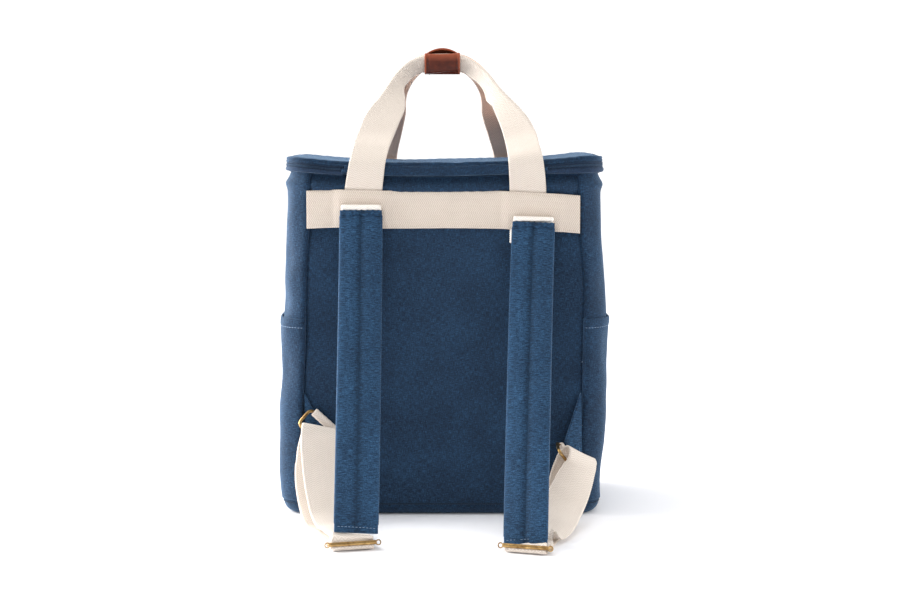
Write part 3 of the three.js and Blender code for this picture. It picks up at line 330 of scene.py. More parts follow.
def body_ring(level, offset=0.0, inset=0.0, sewn=1.0):
    """Ring of the outer cloth at a height in mm, with its seams, hollows and puckers."""
    flat, out = outline(level, offset, inset)
    x, y = flat[:, 0], flat[:, 1]
    push = np.zeros(len(x))
    groove = bell(seam_distance, seam_groove_width)
    pulled = bell(seam_distance, 7)
    swell = bell(seam_distance - 5, 4)
    push -= sewn * seam_groove_depth * groove
    push -= sewn * 0.9 * pulled * (on_side == 0)
    push += sewn * 0.9 * swell * (on_side == 1)
    ripple = np.sin(level / 9 * 2 * math.pi + 3 * np.sin(level / 31)) * np.exp(-seam_distance / 7)
    push += sewn * 0.28 * ripple * (1 - groove)
    place = np.column_stack([x, y, np.full(len(x), level)])
    wide_wave = soft_noise(place, 70, 1)
    small_wave = soft_noise(place, 23, 2)
    push += np.where(on_side == 1, 1.3 * wide_wave + 0.7 * small_wave,
                     -0.5 + 0.45 * wide_wave + 0.2 * small_wave)
    for side, height, along, tall, long, depth in side_dents:
        hollow = bell(level - height, tall) * bell(y - along, long)
        push -= depth * hollow * (on_side == 1) * (x * side > 0)
    free = 1 - 0.9 * np.exp(-(((np.abs(x) - 82) / 29) ** 4))
    roll = 4.6 * free * bell(level - 332.5, 4.5)
    roll = roll - 6 * np.clip((level - 333) / 10, 0, 1) ** 1.3
    push += sewn * roll * np.where(on_side == 1, 0.5, 1)
    beside = bell(np.abs(x) - 126, 24) * (on_side == 0)
    push -= 3.4 * beside * bell(level - 297, 15)
    gather = np.sin(x / 13 * 2 * math.pi + 2 * np.sin(x / 29)) * (on_side == 0)
    push += sewn * 0.35 * gather * bell(level - body_height + 8, 10)
    place[:, 0] += out[:, 0] * push
    place[:, 1] += out[:, 1] * push
    place[:, 2] += rim_rise(x) * np.clip((level - 240) / 104, 0, 1) ** 2
    return place


def skin(name, rings, u, v, closed=False):
    """A closed mesh through rings of points in mm, with cloth lengths u and v in mm as its UVs.
    Open ends are covered by one face each."""
    rings = np.asarray(rings, float)
    count, around = rings.shape[:2]
    points = rings.reshape(-1, 3) * 0.001
    spans = count if closed else count - 1
    i = np.arange(spans)[:, None]
    j = np.arange(around)[None, :]
    low, high = i * around, ((i + 1) % count) * around
    after = (j + 1) % around
    quads = np.stack([low + j, low + after, high + after, high + j], axis=-1).reshape(-1, 4)
    u, v = np.asarray(u, float), np.asarray(v, float)
    u = np.broadcast_to(u, (count + 1, around + 1)) if u.ndim == 1 else u
    v = np.broadcast_to(v[:, None], (count + 1, around + 1)) if v.ndim == 1 else v
    corners = []
    for di, dj in ((0, 0), (0, 1), (1, 1), (1, 0)):
        corners.append(np.stack([u[i + di, j + dj], v[i + di, j + dj]], axis=-1))
    uv = np.stack(corners, axis=2).reshape(-1, 2) * 0.001
    faces = quads.tolist()
    if not closed:
        first = list(range(around))
        last = list(range((count - 1) * around, count * around))
        faces += [first[::-1], last]
        uv = np.concatenate([uv, np.stack([u[0, :-1], v[0, :-1]], 1)[::-1] * 0.001,
                             np.stack([u[count - 1, :-1], v[count - 1, :-1]], 1) * 0.001])
    mesh = bpy.data.meshes.new(name)
    mesh.from_pydata(points.tolist(), [], faces)
    mesh.uv_layers.new(name="cloth").data.foreach_set("uv", uv.ravel())
    mesh.shade_smooth()
    if mesh_volume(points, quads) < 0:
        mesh.flip_normals()
    mesh.validate()
    return in_scene(name, mesh)


def mesh_volume(points, quads):
    """Six times the signed volume inside the quads, about enough to tell inside from outside."""
    middle = points.mean(axis=0)
    a, b, c, d = (points[quads[:, k]] - middle for k in range(4))
    return (np.einsum("ij,ij->", a, np.cross(b, c)) + np.einsum("ij,ij->", a, np.cross(c, d)))


def fit_out(piece, material, slot, *nodes):
    """The piece gets its material, rides on the one body and stands for its CAD nodes."""
    piece.data.materials.append(material)
    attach(piece, "root")
    if nodes:
        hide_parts(*nodes)


def melange(name, shades, upright, sheen_colour, seam_shade=0.0, slubs=0.0):
    """Plain-woven polyester of mixed dyed yarns: fine broken streaks both ways, darker between
    the threads, with a soft sheen at glancing angles. Real threads are 0.35 mm apart, drawn at
    0.8 mm so that they show. Upright is the share of streaks that run along v, the seam shade
    how much painted shade darkens the cloth in a band along a quilting seam at u = 0, and slubs
    how dark the long thick threads across it are."""
    material, tree, sockets = new_material(name, Roughness=0.85, IOR=1.5, Sheen_Weight=0.5,
                                           Sheen_Roughness=0.38, Specular_IOR_Level=0.25)
    sockets["Sheen Tint"].default_value = linear(sheen_colour)
    weave = add_node(tree, "UVMap", uv_map="cloth")["UV"]
    streaks = []
    for scale in ((1600, 200, 1), (200, 1600, 1)):
        place = add_node(tree, "Mapping", {"Vector": weave, "Scale": scale})["Vector"]
        streaks.append(add_node(tree, "TexNoise", {"Vector": place, "Scale": 1, "Detail": 3,
                                                   "Roughness": 0.7}, noise_dimensions="2D")["Fac"])
    mixed = add_node(tree, "Mix", {0: 1 - upright, 2: streaks[0], 3: streaks[1]})["Result"]
    grain_place = add_node(tree, "Mapping", {"Vector": weave, "Scale": (1100, 1100, 1)})["Vector"]
    grain = speckle(tree, grain_place, 1, 1, noise_dimensions="2D")
    grainy = add_node(tree, "Mix", {0: 0.22, 2: mixed, 3: grain})["Result"]
    cloud_place = add_node(tree, "Mapping", {"Vector": weave, "Scale": (24, 24, 1)})["Vector"]
    cloud = speckle(tree, cloud_place, 1, 4, noise_dimensions="2D")
    cloudy = add_node(tree, "Mix", {0: 0.1, 2: grainy, 3: cloud})["Result"]
    tone = tone_of(tree, cloudy, shades[0], shades[2], 0.39, 0.61)
    tree.nodes[-1].color_ramp.elements.new(0.5).color = linear(shades[1])
    threads = []
    parts = add_node(tree, "SeparateXYZ", {"Vector": weave})
    for axis in ("X", "Y"):
        turns = maths(tree, "MULTIPLY", parts[axis], 2 * math.pi / 0.0008)
        threads.append(maths(tree, "SINE", turns))
    crossing = maths(tree, "MULTIPLY", threads[0], threads[1])
    relief = maths(tree, "MULTIPLY", grainy, 2.2)
    height = maths(tree, "MULTIPLY_ADD", crossing, 0.25, relief)
    if slubs:
        slub_place = add_node(tree, "Mapping", {"Vector": weave, "Scale": (95, 1400, 1)})["Vector"]
        slub = speckle(tree, slub_place, 1, 2, noise_dimensions="2D")
        pale = add_node(tree, "MapRange", {"Value": slub, 1: 0.36, 2: 0.5, 3: 1 - slubs, 4: 1.0})
        tone = add_node(tree, "VectorMath", {0: tone, "Scale": pale["Result"]},
                        operation="SCALE")["Vector"]
    # Painted shade: the cloth is darkened in a band along the quilting seam at u = 0.
    if seam_shade:
        off = maths(tree, "ABSOLUTE", parts["X"])
        clear = add_node(tree, "MapRange", {"Value": off, 1: 0.0, 2: 0.0062, 3: 1 - seam_shade, 4: 1.0},
                         interpolation_type="SMOOTHSTEP")["Result"]
        tone = add_node(tree, "VectorMath", {0: tone, "Scale": clear}, operation="SCALE")["Vector"]
    lay_on(tree, sockets, tone, height, 0.5, 0.0003)
    return material


panel_cloth = melange("navy_melange_polyester", ("#0e1c2c", "#192f47", "#2a4b6a"), 0.5, "#9fc4ea")

foot_turns = np.linspace(0, math.pi / 2, 6)[:-1]
body_rings, body_v = [], []
for turn in foot_turns:
    body_rings.append(body_ring(base_rounding * (1 - math.cos(turn)), 0,
                                base_rounding * (1 - math.sin(turn)), 0.3))
    body_v.append(turn * base_rounding)
for level in np.concatenate([[12, 14, 17, 21], np.arange(25, 326, 5), np.arange(327, 342, 2),
                             [342.2, 343]]):
    body_rings.append(body_ring(level))
    body_v.append(level + 7)
for level, inset in ((343.7, 1.2), (344, 2.5), (344, 5), (343, 6)):
    body_rings.append(body_ring(level, 0, inset, 0))
    body_v.append(351 + inset)
for level in (330, 280, 200, 120, 60, 20, 10):
    body_rings.append(body_ring(level, 0, body_wall, 0))
    body_v.append(700 - level)
body_rings.append(body_ring(7, 0, 12, 0))
body_v.append(700)
body_v.append(710)
body = skin("body", body_rings, body_round, body_v)
fit_out(body, panel_cloth, "panel_cloth", "body_shell")


# Base piping. A thin cord covered with a strip of darker cloth, sewn into the seam between the
# walls and the base.
piping_radius = 0.8
piping_height = 11.5

piping_cloth = melange("dark_navy_binding", ("#0f1926", "#162638", "#1f3348"), 0.4, "#93b4d8")


def round_section(radius, count):
    """Offsets of a round section: outward and upward, in mm."""
    turns = np.linspace(0, 2 * math.pi, count, endpoint=False)
    return [(radius * math.cos(t), radius * math.sin(t)) for t in turns]


def round_the_body(name, level_of, profile, offset=0.0):
    """A strip of one section all the way round the body at the height that level_of gives."""
    flat, out = outline(body_height if callable(level_of) else level_of, offset)
    sections = []
    for (x, y), (ox, oy) in zip(flat, out):
        z = level_of(x, y) if callable(level_of) else level_of
        sections.append([(x + ox * o, y + oy * o, z + up) for o, up in profile])
    u = np.linspace(0, 8, len(profile) + 1)
    return skin(name, sections, u, body_round, closed=True)


piping = round_the_body("base_piping", piping_height, round_section(piping_radius, 8), -0.4)
fit_out(piping, piping_cloth, "dark_cloth", "base_piping")


# Side pockets. One flat layer of the panel cloth over each side, sewn into both upright seams and
# the foot. Its top is turned over in a hem with one line of paler stitches.
pocket_top = 201
pocket_hem = 9
pocket_thickness = 1.5
stitch_thread_pale = "#7892b0"
side_count = len(corner_run) * 2 + len(side_run)
first_right = len(back_run)
first_left = 2 * len(back_run) + side_count


def sewing_thread(name, colour):
    """Twisted polyester sewing thread, a little shiny, with the twist as fine ribs."""
    material, tree, sockets = new_material(name, Roughness=0.6, IOR=1.5, Sheen_Weight=0.2)
    place = add_node(tree, "TexCoord")["Object"]
    twist = speckle(tree, place, 2500, 1)
    tone = add_node(tree, "ValToRGB", {"Fac": twist})["Color"]
    ramp = tree.nodes[-1].color_ramp
    dark = linear(colour)
    ramp.elements[0].color = tuple(0.7 * c for c in dark[:3]) + (1,)
    ramp.elements[1].color = tuple(min(1.15 * c, 1) for c in dark[:3]) + (1,)
    lay_on(tree, sockets, tone, twist, 0.4, 0.0001)
    return material


def stitch_line(name, points, outward, material, slot, length=2.4, gap=1.0, radius=0.32):
    """A row of separate stitches along a line of points in mm, half sunk in the cloth."""
    points = np.asarray(points, float)
    outward = np.broadcast_to(np.asarray(outward, float), points.shape)
    run = run_of(points)

    def at(distance):
        place = np.array([np.interp(distance, run, points[:, k]) for k in range(3)])
        out = np.array([np.interp(distance, run, outward[:, k]) for k in range(3)])
        return place, out / np.linalg.norm(out)

    verts, faces = [], []
    total = int(run[-1] // (length + gap))
    margin = (run[-1] - total * (length + gap) + gap) / 2
    for k in range(total):
        start = margin + k * (length + gap)
        base = len(verts)
        for share, size in ((0, 0.35), (0.2, 1), (0.8, 1), (1, 0.35)):
            place, out = at(start + share * length)
            ahead, _ = at(min(start + share * length + 0.1, run[-1]))
            behind, _ = at(max(start + share * length - 0.1, 0))
            along = (ahead - behind) / (np.linalg.norm(ahead - behind) or 1)
            across = np.cross(along, out)
            for turn in range(6):
                angle = turn * math.pi / 3
                ring = across * math.cos(angle) + out * (math.sin(angle) * 0.8 + 0.25)
                verts.append((place + ring * radius * size) * 0.001)
        for step in range(3):
            for turn in range(6):
                a, b = base + step * 6 + turn, base + step * 6 + (turn + 1) % 6
                faces.append((a, b, b + 6, a + 6))
        faces.append(tuple(base + turn for turn in range(5, -1, -1)))
        faces.append(tuple(base + 18 + turn for turn in range(6)))
    mesh = bpy.data.meshes.new(name)
    mesh.from_pydata([tuple(p) for p in verts], [], faces)
    mesh.shade_smooth()
    piece = in_scene(name, mesh)
    fit_out(piece, material, slot)
    return piece


pale_thread = sewing_thread("pale_blue_thread", stitch_thread_pale)
pocket_levels = np.concatenate([[14.4, 18, 22], np.arange(27, 188, 5),
                                [189, 190.5, 191.6, 192.4, 194, 197, 199.4, 200.6, pocket_top]])


def pocket_offset(level, along):
    """How far the pocket's outer face stands off the side panel, in mm."""
    hem = 0.5 / (1 + math.exp(-(level - pocket_top + pocket_hem) * 3))
    sewn = np.minimum(along, 1)
    gape = 1.2 * bell(level - pocket_top, 22)
    pinch = -0.45 * bell(level - pocket_top + pocket_hem, 0.9)
    rounded = -0.5 * bell(level - pocket_top, 0.8)
    return pocket_thickness + hem + pinch + rounded + gape * sewn


for name, first in (("right", first_right), ("left", first_left)):
    stations = (first + np.arange(side_count)) % len(seam_distance)
    along = np.clip(seam_distance[stations] / 45, 0, 1)
    rings = []
    for level in pocket_levels:
        near = body_ring(level)[stations]
        _, out = outline(level)
        out = np.column_stack([out[stations], np.zeros(side_count)])
        lift = pocket_offset(level, along)
        far_face = near + out * (0.15 + lift)[:, None]
        near_face = near + out * np.maximum(lift - pocket_thickness, 0.12)[:, None]
        rings.append(np.concatenate([far_face, near_face[::-1]]))
    run = body_round[first:first + side_count]
    u = np.concatenate([run, run[::-1], run[:1]])
    pocket = skin(f"side_pocket_{name}", rings, u, np.append(pocket_levels, pocket_top + 1))
    fit_out(pocket, panel_cloth, "panel_cloth", f"side_pocket_{name}")
    level = pocket_top - pocket_hem
    near = body_ring(level)[stations]
    _, out = outline(level)
    out = np.column_stack([out[stations], np.zeros(side_count)])
    line = near + out * (0.1 + pocket_offset(level, along))[:, None]
    stitch_line(f"pocket_stitches_{name}", line[2:-2], out[2:-2], pale_thread, "panel_cloth")

for k, level in enumerate((157, 92)):
    stitch_line(f"seam_tack_{k}", [(137.2, -91.3, level), (139.0, -91.1, level + 0.8)], (0, -1, 0),
                pale_thread, "panel_cloth", 1.5, 0.2, 0.45)


# Lid band. Round the rim runs a coil zip between two tapes, each folded over into a soft roll.
# Across the middle of the back there is no zip: a doubled strip of cloth is the lid's hinge.
rim_height = 357
lid_lift_rows = (
    # x, height over the lid's own level
    (-165, 3.0), (-150, 3.8), (-135, 2.4), (-118, 0.6), (-90, -1.2), (-60, -1.9), (0, -1.4),
    (60, -0.2), (98, 1.0), (122, 3.0), (140, 4.8), (152, 4.6), (165, 3.2),
)
lid_front_droop = 3.5
zip_left_x = -101
zip_right_x = 100
coil_pitch = 1.5


def lid_lift(x, y):
    """Height of the lid's edge over its own level."""
    return smooth_rows(lid_lift_rows, x)[:, 1] - lid_front_droop * (y / half_depth + 1) / 2


dense_flat, dense_out = outline(body_height)
dense_flat = np.vstack([dense_flat, dense_flat[:1]])
dense_out = np.vstack([dense_out, dense_out[:1]])
dense_run = run_of(dense_flat)


def rim_strip(start_x, end_x, step):
    """Places and outward directions along the rim, from one x on the back round to another."""
    start = start_x - dense_flat[0, 0]
    end = end_x - dense_flat[0, 0]
    if end <= start:
        end += dense_run[-1]
    places = np.arange(start, end, step) % dense_run[-1]
    parts = [np.interp(places, dense_run, values) for values in
             (dense_flat[:, 0], dense_flat[:, 1], dense_out[:, 0], dense_out[:, 1])]
    return np.column_stack(parts), np.arange(len(places)) * step


def band_sweep(name, start_x, end_x, step, profile, wave=None):
    """A strip along the rim. Its profile is in mm outward and a share of the band's height, and
    wave moves its outer part outward and up along the strip."""
    places, run = rim_strip(start_x, end_x, step)
    sections = []
    lows = body_height + 0.2 + rim_rise(places[:, 0])
    highs = rim_height + lid_lift(places[:, 0], places[:, 1]) - 3.1
    for (x, y, ox, oy), distance, low, high in zip(places, run, lows, highs):
        outward, upward = wave(distance) if wave else (0, 0)
        sections.append([
            (x + ox * (o + outward * (o > 0.8)), y + oy * (o + outward * (o > 0.8)),
             low + (high - low) * up + upward * (o > 0.8))
            for o, up in profile
        ])
    u = np.linspace(0, 30, len(profile) + 1)
    return skin(name, sections, u, np.append(run, run[-1] + step))


zip_tape = melange("plain_navy_zip_tape", ("#162334", "#1f3047", "#2a4260"), 0.5, "#a9c4e4")
tape_roll = ((-3.4, -0.02), (-1.6, -0.02), (0.2, 0.01), (1.3, 0.06), (1.9, 0.15), (2.1, 0.26),
             (2.0, 0.36), (1.6, 0.45), (1.0, 0.51), (0.2, 0.535), (0.1, 0.55), (1.0, 0.56),
             (1.5, 0.59), (1.0, 0.62), (0.0, 0.635), (-0.6, 0.72), (0.0, 0.81), (1.0, 0.82),
             (1.5, 0.85), (1.0, 0.88), (0.2, 0.9), (0.3, 0.92), (1.2, 0.94), (1.5, 0.98),
             (0.9, 1.02), (-1.6, 1.02), (-3.4, 1.02))
tapes = band_sweep("zip_tapes", zip_right_x, zip_left_x, 2.5, tape_roll,
                   lambda s: (0.45 * math.sin(s / 6.5) * math.sin(s / 17), 0.2 * math.sin(s / 11)))
fit_out(tapes, zip_tape, "panel_cloth", "zip_band")

coil_profile = ((-0.4, 0.64), (0.55, 0.645), (0.95, 0.67), (1.1, 0.70), (1.1, 0.75), (0.95, 0.78),
                (0.55, 0.8), (-0.4, 0.805))
coil = band_sweep("zip_coil", zip_right_x + 2.3, zip_left_x - 2.3, coil_pitch / 2, coil_profile,
                  lambda s: (0.5 * (-1) ** round(s / (coil_pitch / 2)), 0))
coil_nylon = melange("navy_nylon_zip_coil", ("#23344a", "#31475f", "#43607f"), 0.5, "#c0d6f0")
fit_out(coil, coil_nylon, "dark_cloth", "zip_coil")

hinge_roll = ((-3.0, 0.02), (-1.4, 0.08), (0.2, 0.12), (1.3, 0.17), (2.1, 0.28), (2.6, 0.42),
              (2.5, 0.56), (2.2, 0.70), (2.1, 0.82), (2.0, 0.95), (2.2, 1.07), (1.9, 1.19),
              (1.5, 1.24), (1.35, 1.1), (1.3, 1.0), (-0.4, 0.97), (-1.6, 0.98), (-3.0, 1.0))
hinge = band_sweep("hinge_strip", zip_left_x + 0.4, zip_right_x - 0.4, 2.0, hinge_roll,
                   lambda s: (0.4 * math.sin(s / 4.1 + 2 * math.sin(s / 23)) * math.sin(s / 13)
                              + 0.4 * math.sin(s / 14 + 1),
                              0.8 * math.sin(s / 9 + 2 * math.sin(s / 31))))
fit_out(hinge, panel_cloth, "panel_cloth", "hinge_strip")

for name, x in (("left", zip_left_x), ("right", zip_right_x)):
    low = body_height + 1.2 + float(rim_rise(x)[0])
    high = rim_height + float(lid_lift(x, -half_depth)[0]) - 4.2
    patch = [(-1, 0), (-0.8, -0.8), (0.8, -0.8), (1, 0)]  # the face's outline, across and out
    rings = []
    for share, swell in ((0, 0.8), (0.06, 1), (0.5, 1.05), (0.94, 1), (1, 0.8)):
        z = low + (high - low) * share
        rings.append([(x + 2.2 * a * swell, -91.9 + b * swell * 0.9, z) for a, b in patch]
                     + [(x + 2.0, -90.6, z), (x - 2.0, -90.6, z)])
    end_patch = skin(f"zip_end_{name}", rings, np.linspace(0, 9, 7), np.linspace(0, 9, 6))
    fit_out(end_patch, panel_cloth, "panel_cloth", f"zip_end_{name}")


# Lid. A padded panel of the same cloth that sags between its edges. A fine piping runs round
# its edge, and the cloth gathers a little where it is sewn to the piping.
lid_overhang = 1.2
lid_sag = 7
lid_edge = (
    # inset, height over the lid's level, sag share
    (7.0, -5.0, 1.0), (6.5, -3.6, 0.3), (5.5, -2.9, 0), (2.0, -2.9, 0), (0.7, -2.6, 0),
    (0.15, -1.9, 0), (0.0, -1.1, 0), (0.15, -0.3, 0), (0.6, 0.1, 0), (0.8, 0.35, 0),
    (0.5, 0.7, 0), (0.25, 1.3, 0), (0.3, 1.9, 0), (0.75, 2.5, 0), (1.5, 2.75, 0),
    (2.1, 2.5, 0), (2.6, 1.9, 0.02), (3.4, 2.1, 0.05), (5.0, 2.7, 0.12), (8.0, 3.1, 0.25),
    (12.0, 3.2, 0.42), (18.0, 3.1, 0.6),
)
lid_scales = (0.93, 0.84, 0.74, 0.62, 0.5, 0.38, 0.26, 0.14, 0.05)


def lid_ring(inset, height, sag, scale=1.0):
    """Ring of the lid at an inset from its edge, or at a share of its outline."""
    flat, out = outline(body_height, lid_overhang, inset)
    x, y = flat[:, 0] * scale, flat[:, 1] * scale
    hollow = (1 - (x / half_width) ** 2) * (1 - (y / half_depth) ** 2)
    lift = lid_lift(x, y)
    z = rim_height + lift + height - sag * lid_sag * hollow
    place = np.column_stack([x, y, z])
    if height > 2:
        along = body_round[:-1]
        gathers = np.sin(along / 12 * 2 * math.pi + 3 * np.sin(along / 47))
        place[:, 2] += 0.25 * gathers * bell(inset - 5, 6) * (scale == 1)
        place[:, 2] += (0.5 + sag) * (soft_noise(place * (1, 1, 0), 60, 5)
                                      + 0.5 * soft_noise(place * (1, 1, 0), 24, 6))
        pucker = bell(x - 11, 5) * bell(y + half_depth - 3, 6)
        place[:, 2] -= 1.5 * pucker
    return place


def cut_flat(piece, up):
    """The cloth of a piece lies as one straight cut: along x, and along up."""
    uv = piece.data.uv_layers["cloth"].data
    for loop in piece.data.loops:
        place = piece.data.vertices[loop.vertex_index].co
        uv[loop.index].uv = (place.x, place.dot(Vector(up)))


lid_rings = [lid_ring(7, -5, 1, s) for s in lid_scales[::-1]]
lid_v = [100 * s for s in lid_scales[::-1]]
travel = 100.0
for inset, height, sag in lid_edge:
    lid_rings.append(lid_ring(inset, height, sag))
    travel += 2.0
    lid_v.append(travel)
for scale in lid_scales:
    lid_rings.append(lid_ring(18, 3.1, 0.6 + 0.4 * min(1, (1 - scale) * 3), scale))
    travel += 8
    lid_v.append(travel)
lid = skin("lid", lid_rings, body_round, np.append(lid_v, travel + 5))
cut_flat(lid, (0, 1, 1))
fit_out(lid, panel_cloth, "panel_cloth", "lid")


# Zip sliders. Two plain brass ones meet in the middle of the front, each with a flat pull.
def aged_brass():
    """Antique brass: yellow metal dulled and browned by handling, brighter where it is rubbed."""
    material, tree, sockets = new_material("antique_brass", Metallic=1.0)
    place = add_node(tree, "TexCoord")["Object"]
    tarnish = speckle(tree, place, 190, 4)
    tone = tone_of(tree, tarnish, "#7a5a34", "#c4a26b", 0.3, 0.68)
    rough = add_node(tree, "MapRange", {"Value": tarnish, 3: 0.38, 4: 0.2})["Result"]
    scratches = speckle(tree, place, 1700, 2)
    tree.links.new(rough, sockets["Roughness"])
    lay_on(tree, sockets, tone, scratches, 0.12, 0.0001)
    return material


brass = aged_brass()


def rounded_block(name, low, high, rounding):
    """A block in mm with rounded edges."""
    low, high = np.array(low, float), np.array(high, float)
    mesh = bpy.data.meshes.new(name)
    corners = [(x, y, z) for z in (low[2], high[2]) for y in (low[1], high[1])
               for x in (low[0], high[0])]
    mesh.from_pydata([tuple(c * 0.001 for c in p) for p in corners], [],
                     [(0, 2, 3, 1), (4, 5, 7, 6), (0, 1, 5, 4), (2, 6, 7, 3), (0, 4, 6, 2),
                      (1, 3, 7, 5)])
    piece = in_scene(name, mesh)
    bevel = piece.modifiers.new("rounding", "BEVEL")
    bevel.width = rounding * 0.001
    bevel.segments = 3
    applied = bpy.data.meshes.new_from_object(
        piece.evaluated_get(bpy.context.evaluated_depsgraph_get()))
    piece.modifiers.clear()
    piece.data = applied
    piece.data.shade_smooth()
    return piece


zip_head_foot = 344
for name, x in (("left", -5.5), ("right", 5.5)):
    low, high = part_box(f"zip_slider_{name}")
    low, high = np.array(low) * 1000, np.array(high) * 1000
    head = rounded_block(f"zip_slider_{name}", (x - 4.5, low[1], zip_head_foot),
                         (x + 4.5, high[1] - 0.8, high[2]), 1)
    fit_out(head, brass, "aged_brass", f"zip_slider_{name}")
    pull = rounded_block(f"zip_pull_{name}", (x - 2.2, high[1] - 1.5, low[2]),
                         (x + 2.2, high[1], zip_head_foot + 2), 0.6)
    fit_out(pull, brass, "aged_brass")


# Bands. Cotton webbing sewn round the bag near its top, over the ends of the handles and, at the
# back, over the tops of the shoulder straps' loops. It is woven as a herringbone: upright
# columns whose ribs lean one way and then the other.
webbing_thickness = 1.8
band_width = 38
rib_pitch = 2.1
column_width = 3.3


def path_of(rows, step):
    """Even steps along a smooth curve through the rows of a table, whose first three columns
    are a place in mm. The other columns follow."""
    rows = np.array(rows, float)
    run = run_of(rows[:, :3])
    table = np.column_stack([run, rows])
    even = np.linspace(0, run[-1], max(2, round(run[-1] / step) + 1))
    curve = smooth_rows(table, even)
    return curve[:, 1:], even


def unit(vectors):
    """Each row at length one."""
    vectors = np.asarray(vectors, float)
    return vectors / np.maximum(np.linalg.norm(vectors, axis=-1, keepdims=True), 1e-9)


def along_of(places):
    """Direction along a path at each of its places."""
    return unit(np.gradient(np.asarray(places), axis=0))


def square_to(across, along):
    """Each across, turned square to its along."""
    return unit(across - along * np.sum(across * along, axis=1, keepdims=True))


def flat_section(width, thickness, columns):
    """Section of a webbing: across from -1 to 1 and back, with rounded, thinner edges."""
    t = np.linspace(0, math.pi, columns)
    across = -np.cos(t) * 0.35 + np.linspace(-1, 1, columns) * 0.65
    thick = thickness / 2 * np.clip((1 - np.abs(across)) / (1.1 / (width / 2)), 0, 1) ** 0.5
    thick = np.maximum(thick, 0.12)
    return across, thick


def webbing(name, places, across, width, thickness=webbing_thickness, columns=17, fold=None,
            fold_side=1, squared=True, bulge=None):
    """A closed strip of webbing round its middle surface. Across is its direction edge to edge,
    and width one number or one for each place. Fold gives, at each place, where the crease is
    from the middle in mm and the angle in degrees by which the rest is folded back, towards the
    side named by fold_side. Bulge gives how far the strip stands off its path, from the length
    so far and the share of the half width."""
    places = np.asarray(places, float)
    across = unit(across)
    along = along_of(places)
    if squared:
        across = square_to(across, along)
    outward = unit(np.cross(across, along))
    run = run_of(places)
    widths = np.broadcast_to(np.asarray(width, float), len(places))
    share, thick = flat_section(widths.max(), thickness, columns)
    rings = []
    for k in range(len(places)):
        half = widths[k] / 2
        reach = share * (half + 0.25 * math.sin(run[k] / 1.05 * math.pi))
        if fold is None:
            flat, up = reach, bulge(run[k], share) if bulge else np.zeros_like(share)
            normal_flat, normal_up = np.zeros_like(share), np.ones_like(share)
        else:
            crease, angle = fold[k]
            flat, up, normal_flat, normal_up = folded(share * half, crease, math.radians(angle))
            up, normal_flat = up * fold_side, normal_flat * -fold_side
        centre = (places[k] + np.outer(flat, across[k]) + np.outer(up, outward[k]))
        normal = np.outer(normal_flat, across[k]) + np.outer(normal_up, outward[k])
        rings.append(np.concatenate([centre + normal * thick[:, None],
                                     (centre - normal * thick[:, None])[::-1]]))
    half = widths.max() / 2
    u = np.concatenate([share * half, share[::-1] * half, share[:1] * half])
    return skin(name, rings, u, np.append(run, run[-1] + 1))


def folded(s, crease, angle):
    """Across and outward places of a strip whose part beyond a crease is folded back by an
    angle, in a small round bend, and the directions square to it."""
    radius = 1.35
    bend = np.clip((s - crease) / (radius * max(angle, 1e-6)), 0, 1) * angle
    over = np.clip(s - crease - radius * angle, 0, None)
    kept = s < crease
    flat = np.where(kept, s, crease + radius * np.sin(bend) + over * math.cos(angle))
    up = np.where(kept, 0, radius * (1 - np.cos(bend)) + over * math.sin(angle))
    return flat, up, np.where(kept, 0, np.sin(bend)), np.where(kept, 1, np.cos(bend))


def herringbone(name, light, dark, tint):
    """Natural cotton webbing: thick soft ribs in herringbone columns, with painted light on their
    tops and painted shade between them, and a few stray fibres' unevenness. Real ribs are 1.6 mm
    apart, drawn at 2.1 mm."""
    material, tree, sockets = new_material(name, Roughness=0.85, IOR=1.5, Sheen_Weight=0.3,
                                           Sheen_Roughness=0.5, Specular_IOR_Level=0.25)
    sockets["Sheen Tint"].default_value = linear(tint)
    cloth = add_node(tree, "UVMap", uv_map="cloth")["UV"]
    wobble = speckle(tree, cloth, 330, 2)
    parts = add_node(tree, "SeparateXYZ", {"Vector": cloth})
    column = maths(tree, "DIVIDE", parts["X"], column_width * 0.001)
    zigzag = maths(tree, "PINGPONG", column, 1.0)
    lean = maths(tree, "MULTIPLY", zigzag, 1.15)
    row = maths(tree, "DIVIDE", parts["Y"], rib_pitch * 0.001)
    leaning = maths(tree, "ADD", row, lean)
    uneven = maths(tree, "MULTIPLY_ADD", wobble, 0.42, leaning)
    turns = maths(tree, "MULTIPLY", uneven, 2 * math.pi)
    wave = maths(tree, "SINE", turns)
    rib = add_node(tree, "MapRange", {"Value": wave, 1: -1.0, 2: 0.5, 3: 0.0, 4: 1.0},
                   interpolation_type="SMOOTHSTEP")["Result"]
    valley = maths(tree, "PINGPONG", column, 0.5)
    furrow = add_node(tree, "MapRange",
                      {"Value": valley, 1: 0.0, 2: 0.16, 3: 0.6, 4: 1.0})["Result"]
    height = maths(tree, "MULTIPLY", rib, furrow)
    fibres = speckle(tree, cloth, 900, 2)
    rough_height = maths(tree, "MULTIPLY_ADD", fibres, 0.25, height)
    clouds = speckle(tree, cloth, 60, 3)
    # Painted shade: the colour follows the ribs' height, darker in the furrows and lighter on the
    # rib tops, over random clouds of tone.
    shade = maths(tree, "MULTIPLY_ADD", clouds, 0.28, height)
    tone = tone_of(tree, shade, dark, light, 0.08, 0.85)
    lay_on(tree, sockets, tone, rough_height, 0.6, 0.0004)
    return material


band_cotton = herringbone("natural_herringbone_cotton", "#e3d7cb", "#c1b0a0", "#fff4ea")
cream_thread = sewing_thread("cream_thread", "#d9cbb8")


